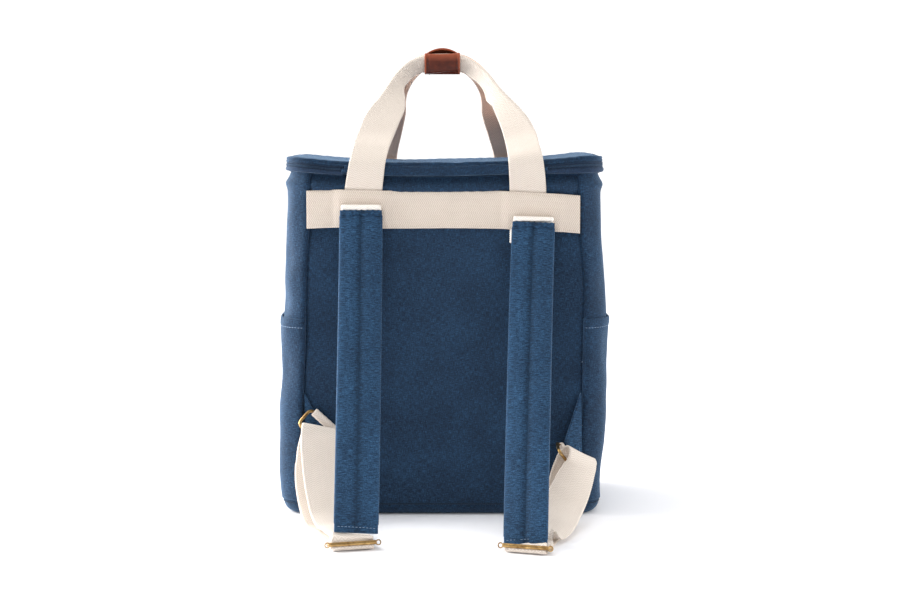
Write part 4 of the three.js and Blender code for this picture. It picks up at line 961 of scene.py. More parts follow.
back_band_rows = (
    (-138.3, -91.2, 310.6), (-112.2, -91.2, 311.8), (-105.6, -93.3, 312.1),
    (-59.4, -93.3, 311.4), (-52.8, -91.2, 311.4), (0, -91.2, 311.4), (56.1, -91.2, 310.4),
    (62.7, -93.3, 310.2), (113.8, -93.3, 308.0), (120.5, -91.2, 307.6), (135, -91.2, 306.4),
)
front_band_rows = (
    (-135.3, 91.9, 311), (-99, 91.9, 311), (-92.4, 94, 311), (-51.1, 94, 311), (-44.6, 91.9, 311),
    (44.6, 91.9, 311), (51.1, 94, 311), (92.4, 94, 311), (99, 91.9, 311), (135.3, 91.9, 311),
)


def straight_rows(rows, step):
    """Even steps along straight runs between the rows, with slightly eased corners."""
    rows = np.array(rows, float)
    run = run_of(rows)
    even = np.linspace(0, run[-1], round(run[-1] / step) + 1)
    places = np.column_stack([np.interp(even, run, rows[:, k]) for k in range(rows.shape[1])])
    for _ in range(3):
        places[1:-1] = (places[:-2] + 2 * places[1:-1] + places[2:]) / 4
    return places


for name, rows, side in (("back", back_band_rows, -1), ("front", front_band_rows, 1)):
    places = straight_rows(rows, 1.0)
    places[:, 2] += 0.35 * np.sin(places[:, 0] / 31)
    band = webbing(f"band_{name}", places, [(0, 0, 1)] * len(places), band_width, squared=False)
    fit_out(band, band_cotton, "cotton_webbing", f"band_{name}")
    for edge in (1, -1):
        line = places + np.array([0, side * (webbing_thickness / 2 + 0.05), edge * 16.3])
        stitch_line(f"band_{name}_stitches_{'upper' if edge > 0 else 'lower'}", line[3:-3],
                    (0, side, 0), cream_thread, "cotton_webbing", 2.2, 1.3, 0.26)


# Handles. One loop of the same webbing at the back and one at the front, both legs sewn under
# their band. Each lies flat at its legs. Higher up, the outer half is folded back behind the
# inner half, and both loops meet in the leather wrap.
handle_width = 38
handle_back_edges = (
    # outer edge x and z, inner edge x and z, depth y of both, how far the outer edge comes nearer
    (-100.3, 316.0, -62.7, 316.0, -91.2, 0), (-100.1, 331.6, -62.5, 331.6, -91.2, 0),
    (-98.3, 342.6, -61.2, 342.6, -93.4, 0), (-95.9, 356.0, -59.4, 357.5, -93.2, 0),
    (-92.6, 372.1, -55.8, 372.1, -82.4, 0), (-88.6, 387.1, -50.2, 386.6, -64.2, 0),
    (-83.6, 399.4, -45.6, 398.4, -54.2, 0), (-76.3, 411.9, -41.8, 407.3, -45.0, 0),
    (-69.4, 419.9, -40.6, 415.3, -37.7, 0.6), (-62.5, 429.0, -41.0, 422.9, -30.2, 1.5),
    (-56.5, 437.1, -42.0, 429.0, -23.5, 2.6), (-51.6, 443.8, -41.2, 433.4, -17.1, 3.4),
    (-46.5, 449.4, -37.4, 438.0, -11.7, 4.0), (-40.4, 455.1, -33.4, 442.2, -7.5, 4.2),
    (-34.8, 458.9, -29.2, 445.0, -4.8, 4.0), (-28.1, 461.8, -24.8, 447.0, -3.6, 3.6),
    (-19.8, 463.8, -18.8, 448.4, -2.8, 3.0), (-2, 464.6, -2, 449.4, -2.6, 2.6),
    (15.9, 463.8, 15.4, 449.0, -2.8, 3.0), (23.6, 460.6, 20.8, 446.8, -4.0, 3.6),
    (31.9, 455.1, 26.6, 442.6, -7.2, 4.0), (40.8, 448.4, 34.0, 437.0, -13.5, 4.0),
    (47.1, 441.2, 39.6, 430.2, -20.9, 3.4), (53.8, 433.0, 44.0, 423.6, -28.3, 2.6),
    (60.6, 426.0, 47.4, 415.3, -35.0, 1.5), (67.4, 419.6, 50.3, 407.8, -41.2, 0.6),
    (76.0, 411.0, 53.5, 399.8, -48.8, 0), (84.4, 400.5, 56.9, 390.4, -57.3, 0),
    (89.6, 390.2, 59.7, 380.6, -65.6, 0), (93.4, 379.0, 61.8, 370.5, -78.8, 0),
    (97.0, 365.5, 63.0, 359.5, -93.1, 0), (99.3, 350.6, 63.8, 347.6, -93.4, 0),
    (101.0, 331.6, 64.4, 331.6, -91.2, 0), (101.2, 316.0, 64.2, 316.0, -91.2, 0),
)
handle_front_rows = (
    (-72, 91.9, 316, 1), (-72, 91.9, 332.4, 1), (-72, 93.7, 342.5, 1), (-71.3, 93.3, 358.9, 1),
    (-69.8, 84.7, 367.7, 0.98), (-64.8, 67.7, 385.3, 0.88), (-59.8, 53.4, 401.7, 0.70),
    (-54.7, 40.8, 416.8, 0.40), (-47.5, 27.4, 432.0, 0.15), (-37.4, 13.9, 445.8, 0.05),
    (-23.8, 2.3, 455.3, 0), (-2.9, 2.3, 457.2, 0), (17.3, 2.3, 455.9, 0),
    (31.7, 12.2, 447.1, 0.04), (43.2, 25.6, 433.2, 0.14), (51.1, 39.9, 418.1, 0.40),
    (56.9, 53.4, 401.7, 0.70), (63.4, 67.7, 385.3, 0.88), (69.5, 84.7, 367.7, 0.98),
    (71.3, 93.3, 358.9, 1), (72, 93.7, 342.5, 1), (72, 91.9, 332.4, 1), (72, 91.9, 316, 1),
)
fold_begins = 5
fold_turn = 170
front_width_turns = ((0, 176), (0.15, 160), (0.4, 130), (0.7, 95), (0.88, 50), (1, 0))
handle_cotton = herringbone("bleached_herringbone_cotton", "#e7dcd1", "#d0c3b5", "#fff8f0")
# The front handle is seen only from its back, in shade. It is the same webbing, drawn warmer and
# pinker as painted light for the warm light bounced onto it from the cream and brown parts around.
shaded_cotton = herringbone("warm_bounce_light_herringbone_cotton", "#f6dac8", "#d2b19d", "#ffe6d6")

edges = [((xo + xi) / 2, y, (zo + zi) / 2, xo, zo, xi, zi, tip)
         for xo, zo, xi, zi, y, tip in handle_back_edges]
curve, run = path_of(edges, 1.2)
depth, tip = curve[:, 1], curve[:, 7]
outer = np.column_stack([curve[:, 3], depth - tip, curve[:, 4]])
inner = np.column_stack([curve[:, 5], depth + tip, curve[:, 6]])
shown = np.minimum(np.linalg.norm(outer - inner, axis=1), handle_width)
turned = np.clip((handle_width - shown - fold_begins) / 5, 0, 1)
width = shown + (handle_width - shown) * turned
creases = shown - 1.3 * np.minimum(turned * 3, 1) - width / 2
across = unit(outer - inner)
handle = webbing("handle_back", inner + across * width[:, None] / 2, across, width,
                 fold=[(crease, fold_turn) for crease in creases], fold_side=1, columns=33,
                 squared=False)
fit_out(handle, handle_cotton, "cotton_webbing", "handle_back")

curve, run = path_of(handle_front_rows, 1.5)
places, wide = curve[:, :3], np.clip(curve[:, 3], 0, 1)
lean = np.clip((run / run[-1] - 0.15) / 0.7, 0, 1)
crown = np.clip(1 - wide / 0.2, 0, 1)
facing = np.column_stack([np.zeros(len(run)), np.ones(len(run)),
                          0.45 * np.sin(math.pi * lean) - 0.75 * crown])
across = -unit(np.cross(facing, along_of(places)))
angles = np.interp(wide, *zip(*front_width_turns))
shift = np.interp(wide, (0, 0.3, 0.6, 1), (7.8, 6, 2.5, 0))
width = np.interp(wide, (0, 0.3, 0.6), (31, 35, handle_width))
handle = webbing("handle_front", places + across * shift[:, None], across, width,
                 fold=[(0, angle) for angle in angles], fold_side=-1, columns=23)
fit_out(handle, shaded_cotton, "cotton_webbing", "handle_front")


# Handle wrap. A strip of brown leather bent round both folded handles and sewn at its ends. Its
# camera side is flat, the other side stands up in an arch.
wrap_centre = (-3.0, 456.15)
wrap_length = 36.6
wrap_stations = 66  # points round each section
wrap_hollow = range(23, 36)  # of these, the ones in the open hollow on top
wrap_inner_shares = (1, 0.75, 0.5, 0.25, 0)


def brown_leather():
    """Full-grain leather dyed red-brown: fine pebbled grain, a waxy half shine, paler at its cut
    ends and towards the top of the wrap."""
    material, tree, sockets = new_material("brown_full_grain_leather", IOR=1.5,
                                           Specular_IOR_Level=0.3)
    place = add_node(tree, "TexCoord")["Object"]
    pebbles = add_node(tree, "TexVoronoi", {"Vector": place, "Scale": 1400}, feature="F1")
    clouds = speckle(tree, place, 150, 4)
    tone = tone_of(tree, clouds, "#46170a", "#5e2513", 0.3, 0.7)
    spot = add_node(tree, "SeparateXYZ", {"Vector": place})
    # The colour turns paler towards the top of the wrap by height, and at the cut ends by distance
    # along x.
    over = add_node(tree, "MapRange", {"Value": spot["Z"], 1: 0.4585, 2: 0.4675})["Result"]
    off = maths(tree, "ADD", spot["X"], -wrap_centre[0] * 0.001)
    side = maths(tree, "ABSOLUTE", off)
    rim = add_node(tree, "MapRange", {"Value": side, 1: 0.0163, 2: 0.0176})["Result"]
    paler_top_and_cut_ends = maths(tree, "MAXIMUM", over, rim)
    colour = add_node(tree, "MixRGB", {0: paler_top_and_cut_ends, 1: tone, 2: linear("#a35438")})["Color"]
    rough = add_node(tree, "MapRange", {"Value": clouds, 3: 0.38, 4: 0.55})["Result"]
    tree.links.new(rough, sockets["Roughness"])
    lay_on(tree, sockets, colour, pebbles["Distance"], 0.35, 0.0003)
    return material


def wrap_section(x, share, inside=False):
    """Section across the wrap: flat on the camera's side, arched at the far side, sunk between."""
    arch = 5.2 * max(math.sin(math.pi * np.clip((share - 0.06) / 0.86, 0, 1)), 0) ** 0.8
    dip = 0.8 * math.sin(math.pi * share)
    low = 446.2 + 2.6 * share
    corners = [
        (-5.4, low + 0.1), (-6.7, low + 0.6), (-7.4, low + 2.6), (-7.8, 453.5), (-7.7, 459),
        (-7.2, 463.4), (-6.5, 466.0), (-5.9, 467.2 - dip), (-5.1, 467.3 - dip),
        (-4.6, 465.8 - dip), (-3.4, 464.9), (1.8, 464.6), (5.0, 464.9), (5.2, 465.6 + 0.3 * arch),
        (4.4, 466.0 + 0.72 * arch), (3.0, 466.3 + 0.93 * arch), (2.2, 467.0 + arch),
        (2.9, 467.7 + arch), (4.6, 467.2 + 0.95 * arch), (6.5, 466.2 + 0.75 * arch),
        (7.4, 464.8 + 0.45 * arch), (7.5, 460), (7.4, 454), (7.2, low + 3), (6.4, low + 0.4),
        (2, low - 0.3), (-2, low - 0.3),
    ]
    y, z = np.array(corners).T
    if inside:
        turns = np.linspace(-math.pi * 0.75, -math.pi * 2.75, len(y), endpoint=False)
        y, z = 5.5 * np.cos(turns), 454.6 + 9.2 * np.sin(turns)
    y, z = np.append(y, y[0]), np.append(z, z[0])
    run = np.arange(len(y))
    fine = np.linspace(0, len(y) - 1, wrap_stations, endpoint=False)
    return np.column_stack([np.full(len(fine), x), np.interp(fine, run, y),
                            np.interp(fine, run, z)])


leather = brown_leather()
wrap_rings = []
wrap_ends = np.array([0, 0.01, 0.025, 0.04, 0.055, 0.075, 0.09, 0.105, 0.125])
for share in np.concatenate([wrap_ends, np.linspace(0.16, 0.84, 14), 1 - wrap_ends[::-1]]):
    end = min(share, 1 - share)
    x = wrap_centre[0] + wrap_length * (share - 0.5)
    ring = wrap_section(x, share)
    middle = np.array([x, 0, 455.5])
    ring = middle + (ring - middle) * (0.95 if end < 0.005 else (0.985 if end < 0.02 else 1))
    ring[:, 2] -= 0.6 * (0.5 - share)
    edge = bell(end - 0.03, 0.025) - bell(end - 0.095, 0.02)
    ring[:, 1] -= (0.15 * math.sin(share * 8) + 0.4 * edge) * (ring[:, 1] < -5)
    wrap_rings.append(ring)
for share in wrap_inner_shares:
    wrap_rings.append(wrap_section(wrap_centre[0] + wrap_length * (share - 0.5), share, True))
wrap = skin("handle_wrap", wrap_rings, np.linspace(0, 60, wrap_stations + 1),
            np.arange(len(wrap_rings) + 1) * 2.0, closed=True)
fit_out(wrap, leather, "wrap_leather", "handle_wrap")

# The faces in the open hollow on top show the leather's rough flesh side, drawn very dark as
# painted shade for the shadow inside the hollow.
hollow_suede_shade, tree, sockets = new_material("dark_brown_painted_hollow_shade", Roughness=0.95, Specular_IOR_Level=0.1)
nap = speckle(tree, add_node(tree, "TexCoord")["Object"], 900, 3)
tree.links.new(tone_of(tree, nap, "#2c120a", "#4a2213"), sockets["Base Color"])
wrap.data.materials.append(hollow_suede_shade)
outer_rings = len(wrap_rings) - len(wrap_inner_shares)
for face in wrap.data.polygons:
    ring, station = divmod(face.index, wrap_stations)
    if ring < outer_rings - 1 and station in wrap_hollow:
        face.material_index = 1

dark_thread = sewing_thread("dark_brown_waxed_thread", "#24130e")
for name, share, size in (("left", 0.095, 0.42), ("right", 0.905, 0.3)):
    x = wrap_centre[0] + wrap_length * (share - 0.5)
    line = [(x, y, z) for y, z in ((-7.0, 449.5), (-7.4, 453.5), (-7.3, 459), (-6.7, 464))]
    stitch_line(f"wrap_stitches_{name}", line, (0, -1, 0), dark_thread, "wrap_leather", 2.6, 1.2,
                size)
stitch_line("wrap_loose_thread", [(-16.6, -6.4, 447.2), (-16.2, -6.9, 444)], (0, -1, 0),
            dark_thread, "wrap_leather", 3, 0, 0.22)


# Shoulder straps. Foam sewn into a tube of the mottled cloth, turned right side out and quilted
# by one seam down the middle. They hang from the back band and lean out to the floor.
strap_width = 43
strap_rows = (
    # down, lean, full
    (0, 0, 0.06), (0.025, 0.002, 0.65), (0.09, 0.04, 1), (0.22, 0.14, 1), (0.38, 0.29, 1),
    (0.55, 0.47, 1), (0.72, 0.66, 1), (0.87, 0.84, 1), (0.96, 0.95, 0.76), (1, 1, 0),
)
strap_hem_thickness = 4.6
strap_padding = 8
end_shear = {"left": -0.3, "right": 2.9}
end_reach = {"left": 0.6, "right": 2.8}
strap_sides = {
    # top, end, turns at both, sideways tilt at the top
    "left": ((-83.6, -100.9, 311), (-83.6, -237.8, 16.2), (0, 13), 0),
    "right": ((88.2, -100.9, 299.2), (75.7, -250.8, 7.6), (-1, -18), 2.6),
}


def across_of(yaw, dip=0.0):
    """Direction across a strap that is turned about the upright and dips to the right."""
    turn, fall = np.radians(yaw), np.radians(dip)
    return np.stack([np.cos(fall) * np.cos(turn), np.cos(fall) * np.sin(turn),
                     -np.sin(fall) * np.ones_like(turn)], axis=-1)


# The straps' cloth is the body's navy melange drawn lighter and bluer. This is painted light for
# the stronger light on the up-tilted straps. The last two numbers set the painted seam shade and
# the slubs.
strap_cloth = melange("navy_melange_polyester_painted_lighter", ("#14273d", "#213f5c", "#376188"), 0.3,
                      "#a9cbee", 0.34, 0.36)

for name, (top, end, turns, tilt) in strap_sides.items():
    rows = [(top[0] + (end[0] - top[0]) * d, top[1] + (end[1] - top[1]) * lean,
             top[2] + (end[2] - top[2]) * d, full, d) for d, lean, full in strap_rows]
    curve, run = path_of(rows, 1.0)
    places, full, down = curve[:, :3], curve[:, 3], curve[:, 4]
    along = along_of(places)
    across = across_of(turns[0] + (turns[1] - turns[0]) * down, tilt * (1 - down))
    across = square_to(across, along)
    face = np.cross(along, across)
    share = np.concatenate([[-1, -0.985, -0.955, -0.92, -0.87, -0.8], np.linspace(-0.7, -0.14, 8),
                            [-0.09, -0.05, -0.02, 0, 0.02, 0.05, 0.09],
                            np.linspace(0.14, 0.7, 8), [0.8, 0.87, 0.92, 0.955, 0.985, 1]])
    edge = np.abs(share)
    swell = 0.16 + 0.84 * (1 - edge ** 3.2) ** 0.42
    valley = 0.42 * bell(share, 0.17) + 0.10 * bell(share, 0.03)
    rings = []
    for k in range(len(places)):
        thick = (strap_hem_thickness + (strap_padding - strap_hem_thickness) * full[k]) / 2
        width = strap_width / 2 - 0.5 * (full[k] < 0.5)
        s = run[k]
        ripple = 0.28 * np.sin(s / 5.2 + 2.5 * np.sin(s / 37)) * bell(share, 0.45)
        edge_pull = 0.25 * np.sin(s / 3.6 + share * 2) * np.clip((edge - 0.6) / 0.35, 0, 1)
        crease = 0.5 * math.sin((s - 150) / 2.6) * bell(s - 160, 22) * (share > 0)
        top_gather = 0.5 * np.sin(share * 19) * bell(s, 12)
        top_gather -= 1.6 * bell(s - 5.5 - 0.9 * np.sin(share * 9), 1.0)
        top_gather -= 0.9 * bell(share, 0.06) * bell(s - 6, 4)
        pinch = 1 + 0.8 * bell(s, 12)
        front = thick * (swell - valley * pinch) + (ripple + edge_pull + crease) * full[k]
        front = front + top_gather
        bottom_seam = bell(run[-1] - 4.5 - s, 1.2)
        front = front - 0.55 * bottom_seam
        rear = thick * (swell - 0.1 * bell(share, 0.14))
        shear = share * end_shear[name] + end_reach[name]
        middle = places[k] + np.outer(shear * bell(run[-1] - s, 26), along[k])
        flat = share * width
        outer = middle + np.outer(flat, across[k]) + np.outer(front, face[k])
        inner = middle + np.outer(flat, across[k]) - np.outer(rear, face[k])
        if s < 6:
            frill = (0.9 * np.sin(share * 23 + 1) + 0.5 * np.sin(share * 51)) * (1 - s / 6)
            outer += np.outer(frill * 0.7, face[k]) - np.outer(frill * 0.6, along[k])
        rings.append(np.concatenate([outer, inner[::-1]]))
    u = np.concatenate([share * strap_width / 2, share[::-1] * strap_width / 2, share[:1]])
    strap = skin(f"shoulder_strap_{name}", rings, u, np.append(run, run[-1] + 1))
    fit_out(strap, strap_cloth, "strap_cloth", f"shoulder_strap_{name}")
    k = len(places) - 5
    thick = (strap_hem_thickness + (strap_padding - strap_hem_thickness) * full[k]) / 2
    hem = np.linspace(-0.93, 0.93, 30)
    line = [places[k] + across[k] * s * strap_width / 2 + face[k] * (thick * w - 0.35)
            for s, w in zip(hem, np.interp(hem, share, swell))]
    stitch_line(f"strap_hem_stitches_{name}", line, face[k], pale_thread, "strap_cloth", 2.3, 1.1,
                0.26)


# Strap anchors. The webbing that holds each strap comes down from under the band, turns up in
# front of it and goes over into the top of the strap.
anchor_width = 40
white_cotton = herringbone("white_herringbone_cotton", "#fbf6ef", "#efe6dc", "#fffaf4")
anchor_front, anchor_behind = -91.2, -95.4  # where the loop's two layers run, in y
anchor_fold_height = 5.6
fit_gap = 0.3


def half_turn(middle, radius, start, end, steps=9):
    """Places on an arc in the y-z plane between two angles in degrees."""
    turns = np.radians(np.linspace(start, end, steps))
    return [(middle[0] + radius * math.cos(t), middle[1] + radius * math.sin(t)) for t in turns]


for name, (top, end, turns, tilt) in strap_sides.items():
    band_low = float(np.interp(top[0], [r[0] for r in back_band_rows],
                               [r[2] for r in back_band_rows])) - band_width / 2
    turn_radius = (anchor_front - anchor_behind) / 2
    turn_z = band_low - 12 + turn_radius
    fold_radius = (anchor_behind - top[1]) / 2
    fold_z = top[2] + anchor_fold_height - fold_radius - webbing_thickness / 2
    slope = abs(top[0] - end[0]) / (top[2] - end[2])
    side_view = [(anchor_front, band_low + 6)]
    side_view += half_turn((anchor_front - turn_radius, turn_z), turn_radius, 0, -180)
    side_view += half_turn((anchor_behind - fold_radius, fold_z), fold_radius, 0, 180)
    side_view += [(top[1], top[2] + fit_gap + strap_width * slope / 2)]
    low_shift = -3.5 if name == "right" else 0.0
    rows = [(top[0] + (low_shift if z < top[2] - 3 else 0), y, z) for y, z in side_view]
    places = straight_rows(rows, 0.7)
    dips = tilt * np.clip((places[:, 2] - band_low) / 25, 0, 1)
    anchor = webbing(f"strap_anchor_{name}", places, across_of(np.zeros(len(places)), dips),
                     anchor_width)
    fit_out(anchor, white_cotton, "cotton_webbing", f"strap_anchor_{name}")


# Rings. Oblong loops of round brass wire at the lower corners.
wire = 1.6
ring_length = 43.5
ring_depth = 20.5
ring_corner = 5
ring_frames = {}
for name, start, along, down in (
    ("left", (-135, -96.6, 110.25), (0.734, 0, -0.679), (-0.607, -0.437, -0.665)),
    ("right", (112.5, -105.6, 78.2), (0.58, 0.2626, -0.7715), (0.052, -0.956, -0.287)),
):
    along = unit(along)
    down = np.array(down) - along * np.dot(down, along)
    ring_frames[name] = (np.array(start), along, unit(down))


def tube(name, centres, firsts, seconds, radius, sides=14, closed=True):
    """A round wire through the centres."""
    turns = np.linspace(0, 2 * math.pi, sides, endpoint=False)
    rings = [c + radius * (np.outer(np.cos(turns), a) + np.outer(np.sin(turns), b))
             for c, a, b in zip(centres, firsts, seconds)]
    count = len(rings)
    return skin(name, rings, np.linspace(0, 10, sides + 1), np.arange(count + 1) * 1.0, closed)


def wire_loop(name, centre, along, down, length, depth, corner):
    """A closed oblong loop of wire."""
    half_length, half_span = length / 2 - corner, depth / 2 - corner
    corners = ((1, 1), (-1, 1), (-1, -1), (1, -1))
    normal = unit(np.cross(along, down))
    centres, outs = [], []
    for turn, (u, v) in enumerate(corners):
        for share in np.linspace(0, 1, 7):
            angle = math.pi / 2 * (turn + share)
            out = along * math.cos(angle) + down * math.sin(angle)
            centres.append(centre + along * u * half_length + down * v * half_span + out * corner)
            outs.append(out)
    return tube(name, centres, outs, [normal] * len(outs), wire)


for name, (start, along, down) in ring_frames.items():
    centre = start + along * ring_length / 2 + down * ring_depth / 2
    ring = wire_loop(f"ring_{name}", centre, along, down, ring_length, ring_depth, ring_corner)
    fit_out(ring, brass, "aged_brass", f"ring_{name}")


# Ring keepers. Webbing folded round each ring's upper side and sewn to the corner tab.
keeper_length = 35.5
keeper_half_width = 4.3
for name, (start, along, down) in ring_frames.items():
    back = unit(np.array([0, 1, 0]) - along * along[1])
    wide = unit(np.cross(along, back))
    first = (ring_length - keeper_length) / 2
    rings = []
    turns = np.linspace(0, 2 * math.pi, 32, endpoint=False)
    for inner in (False, True):
        shares = np.linspace(0, 1, 24)
        for share in (shares if not inner else shares[::-1]):
            end_in = 0.5 if min(share, 1 - share) < 0.01 else 0
            grow = -1.5 + end_in if inner else -end_in
            half_wide = keeper_half_width + grow + 0.15 * math.sin(share * 40) * (not inner)
            half_deep = 3.5 + grow
            middle = start + along * (first + keeper_length * share)
            rings.append(middle + half_wide * np.outer(np.cos(turns), wide)
                         + half_deep * np.outer(np.sin(turns), back))
    v = np.concatenate([np.linspace(0, keeper_length, 24), np.linspace(keeper_length, 0, 24), [0]])
    round_it = np.linspace(0, 25, 33)
    keeper = skin(f"ring_keeper_{name}", rings, round_it, v, closed=True)
    fit_out(keeper, handle_cotton, "cotton_webbing", f"ring_keeper_{name}")


# Corner tabs. Folded triangles of the strap's cloth, sewn into the side seams. The two lines of
# stitches beside the keeper are not drawn.
tab_thickness = 2.5
for name, corners in (
    ("left", ((-141.9, -91.55, 126), (-120.4, -91.55, 84.2), (-141, -91.55, 54))),
    ("right", None),
):
    start, along, down = ring_frames[name]
    if corners is None:
        back = unit(np.array([0, 1, 0]) - along * along[1])
        wide = unit(np.cross(along, back))
        away = keeper_half_width + 0.6 + tab_thickness / 2
        edge = start + wide * away
        run = min(ring_length - 10, (138.2 - edge[0]) / along[0])
        corners = (np.array((137, -91.55, 126)), start + along * 5 + wide * away,
                   edge + along * run, np.array((138.5, -91.55, 54)))
    corners = [np.array(c, float) for c in corners]
    normal = unit(np.cross(corners[1] - corners[0], corners[-1] - corners[0]))
    if normal[1] > 0:
        normal = -normal
    middle = sum(corners) / len(corners)
    ring_in = []
    for a, b in zip(corners, corners[1:] + corners[:1]):
        ring_in += [a + (b - a) * s for s in np.linspace(0, 1, 12, endpoint=False)]
    ring_in = np.array(ring_in)
    rings = []
    for shrink, out in ((0.9, -1.25), (0.985, -1.2), (1, -0.6), (1, 0.6), (0.985, 1.1),
                        (0.96, 1.25), (0.9, 1.05), (0.7, 1.15), (0.4, 1.2), (0.1, 1.2)):
        ring = middle + (ring_in - middle) * shrink + normal * out
        ring += normal * 0.15 * soft_noise(ring, 12, 8)[:, None] * (out > 1)
        rings.append(ring)
    tab = skin(f"corner_tab_{name}", rings, np.linspace(0, 120, len(ring_in) + 1),
               np.arange(len(rings) + 1) * 2.0)
    cut_flat(tab, (0, 0, 1))
    fit_out(tab, strap_cloth, "strap_cloth", f"corner_tab_{name}")


# Sliders. At each strap's end a wire frame whose middle bar is curled round the short sides.
slider_length = 49
slider_depth = 14
slider_corner = 3
slider_pitch = 13
slider_frames = {}
slider_places = {
    # centre, turn, dip
    "left": ((-87.6, -241.4, 6.0), 13.7, -0.4),
    "right": ((77.4, -253.8, 5.8), -19.4, -0.5),
}
for name, (centre, turn, dip) in slider_places.items():
    long = across_of(turn, dip)
    pitch = math.radians(slider_pitch)
    rear = np.array([0, math.cos(pitch), -math.sin(pitch)])
    rear = unit(rear - long * np.dot(rear, long))
    up = unit(np.cross(long, rear))
    slider_frames[name] = (np.array(centre), long, rear, up)

for name, (centre, long, rear, up) in slider_frames.items():
    slider = wire_loop(f"slider_{name}", centre, long, rear, slider_length - 5, slider_depth,
                       slider_corner)
    fit_out(slider, brass, "aged_brass", f"slider_{name}")
    reach = slider_length / 2
    bar_line = [centre + long * (reach - 1) * share for share in np.linspace(-1, 1, 9)]
    bar = tube(f"slider_bar_{name}", bar_line, [rear] * 9, [up] * 9, wire, closed=False)
    fit_out(bar, brass, "aged_brass")
    turns = np.linspace(0, 2 * math.pi, 24, endpoint=False)
    section = [(1.45 * math.cos(t), 1.1 * math.sin(t) + 0.95 * (1 if math.sin(t) > 0 else -1))
               for t in turns]
    rings = []
    for share in np.concatenate([[-1, -0.985, -0.96], np.linspace(-0.9, 0.9, 9), [0.96, 0.985, 1]]):
        size = 0.5 if abs(share) == 1 else (0.85 if abs(share) > 0.98 else 1)
        middle = centre + long * (reach - 2.2) * share - rear * (slider_depth / 2 + 0.5)
        rings.append([middle + (rear * a + up * b) * size for a, b in section])
    face = skin(f"slider_face_{name}", rings, np.linspace(0, 12, 25), np.arange(16) * 3.0)
    fit_out(face, brass, "aged_brass")
    for end_name, share in (("left", -1), ("right", 1)):
        turns = np.linspace(0, 2 * math.pi, 20, endpoint=False)
        outs = [long * math.cos(t) + up * math.sin(t) for t in turns]
        centres = [centre + long * (reach - 0.1) * share - rear * 6.5 + out * 2.3 - up * 0.3
                   for out in outs]
        eye = tube(f"slider_eye_{name}_{end_name}", centres, outs, [rear] * 20, 0.6)
        fit_out(eye, brass, "aged_brass")


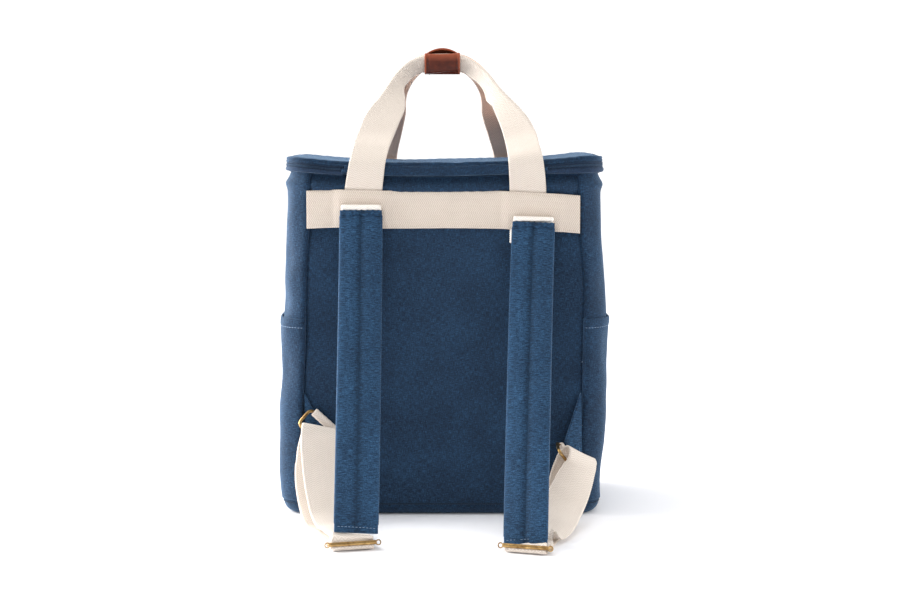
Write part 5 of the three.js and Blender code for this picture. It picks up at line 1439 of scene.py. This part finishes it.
# Adjusting webbing. From each strap's end it passes the slider, runs slack to the corner ring,
# over it and back under itself to the slider's bar.
adjuster_width = 40
slider_route = (
    (-1.04, 1.2), (-1.1, 0.4), (-1.5, -0.5), (-2.1, -1.0), (-1.7, -1.44), (-0.6, -1.5),
    (0.1, -1.4), (0.6, -1.0),
    (0.98, -0.45), (1.1, 0.3), (1.35, 1.0), (2.1, 1.35), (2.9, 1.2), (3.8, 0.8),
)
adjuster_rows = {
    # x, y, z, turn, dip and the share of the width that shows
    "left": (
        (-89.4, -214.5, 4.5, 6, 0, 1), (-99, -178.1, 4.7, 3, 0, 1), (-107.2, -161.1, 7.5, 2, 2, 1),
        (-112.2, -149.1, 15, 0, 3, 1), (-115.8, -141, 25, 0, 4, 1), (-120, -130.1, 42, 0, 6, 1),
        (-122.9, -120.6, 60, 0, 8, 1), (-124.4, -114.6, 81, 0, 11, 1),
        (-124.1, -112.8, 88.7, 0, 11, 1), (-124.1, -110.5, 92.2, 0, 11, 0.99),
        (-124.1, -107, 93.9, 0, 11, 0.98), (-124.4, -103.5, 91.8, 0, 11, 0.97),
        (-125.1, -102, 87.3, 0, 10, 0.95), (-129.5, -102, 78.3, 0, 8, 0.86),
        (-132.8, -102.5, 69.3, 0, 6, 0.80), (-131.5, -108, 57.6, 0, 5, 0.95),
        (-130.3, -114.8, 40.5, 0, 4, 1), (-127, -124.5, 23.4, 0, 3, 1),
        (-122.1, -137.2, 10.8, 2, 2, 1), (-115.5, -148.5, 3.2, 3, 0, 1),
        (-105.6, -169.5, 1.4, 4, 0, 1), (-93.2, -213, 1.4, 8, 0, 1), (-89.1, -225, 1.4, 11, 0, 1),
    ),
    "right": (
        (83.5, -226, 5.6, -18, 0, 1), (93.5, -211, 7, -12, 4, 1), (101.5, -199, 10, -12, 8, 1),
        (107.8, -185, 15, -7, 12, 1), (113.8, -165, 21, -2, 16, 1),
        (121.3, -145.5, 30.6, 8, 19, 1), (127.9, -133.5, 41.4, 18, 20, 1),
        (133.7, -126, 52.2, 30, 22, 1), (137.3, -122.2, 61.2, 38, 24, 1),
        (137.8, -117.8, 66.2, 39, 25, 0.98), (136.1, -111.8, 68, 38, 27, 0.95),
        (132.8, -106.8, 65.7, 36, 30, 0.90), (126.7, -105.9, 60.3, 26, 36, 0.82),
        (122.6, -107.2, 52.2, 18, 40, 0.77), (120.1, -109.5, 43.2, 18, 36, 0.84),
        (118.8, -117, 32.4, 10, 28, 0.95), (115.5, -127.5, 22.5, 4, 18, 1),
        (111.4, -141, 12.6, 0, 9, 1), (105.6, -159, 5.4, -4, 3, 1), (97.3, -183, 1.6, -9, 0, 1),
        (87.5, -213, 1.4, -15, 0, 1), (84.2, -226.5, 1.4, -17, 0, 1),
    ),
}


def right_wave(lift_off):
    """The slack right webbing buckles where it lifts off the floor, at that length along it."""
    def wave(run, share):
        edge = np.clip((share + 0.1) / 0.9, 0, 1) ** 1.5
        return edge * 11 * bell(run - lift_off - 3, 7)
    return wave


def left_wave(run, share):
    """The slack left webbing curls a little along its outer edge near the floor."""
    near = bell(run - 75, 25)
    return near * 1.6 * bell(share + 0.75, 0.3)


for name, (centre, long, rear, up) in slider_frames.items():
    end = strap_sides[name][1]
    start_height = max(end[2] - fit_gap - strap_hem_thickness / 3, centre[2] + 2.4)
    turn, dip = slider_places[name][1:]
    rows = []
    for behind, above in slider_route:
        place = centre + rear * behind * 2 * wire + up * above * 2 * wire
        if behind < 0 and place[2] > start_height - webbing_thickness:
            continue
        rows.append((*place, turn, dip, 1))
    first = rows[0]
    rows.insert(0, (first[0], first[1] + (end[1] - first[1]) * 0.8, start_height, turn, dip, 1))
    rows += adjuster_rows[name]
    curve, run = path_of(rows, 1.0)
    lift_off = run[np.argmax(curve[:, 1] > -220)]
    width = adjuster_width * np.clip(curve[:, 5], 0.7, 1)
    bulge = right_wave(lift_off) if name == "right" else left_wave
    adjuster = webbing(f"adjusting_webbing_{name}", curve[:, :3],
                       across_of(curve[:, 3], curve[:, 4]), width, columns=25, bulge=bulge)
    fit_out(adjuster, handle_cotton, "cotton_webbing", f"adjusting_webbing_{name}")
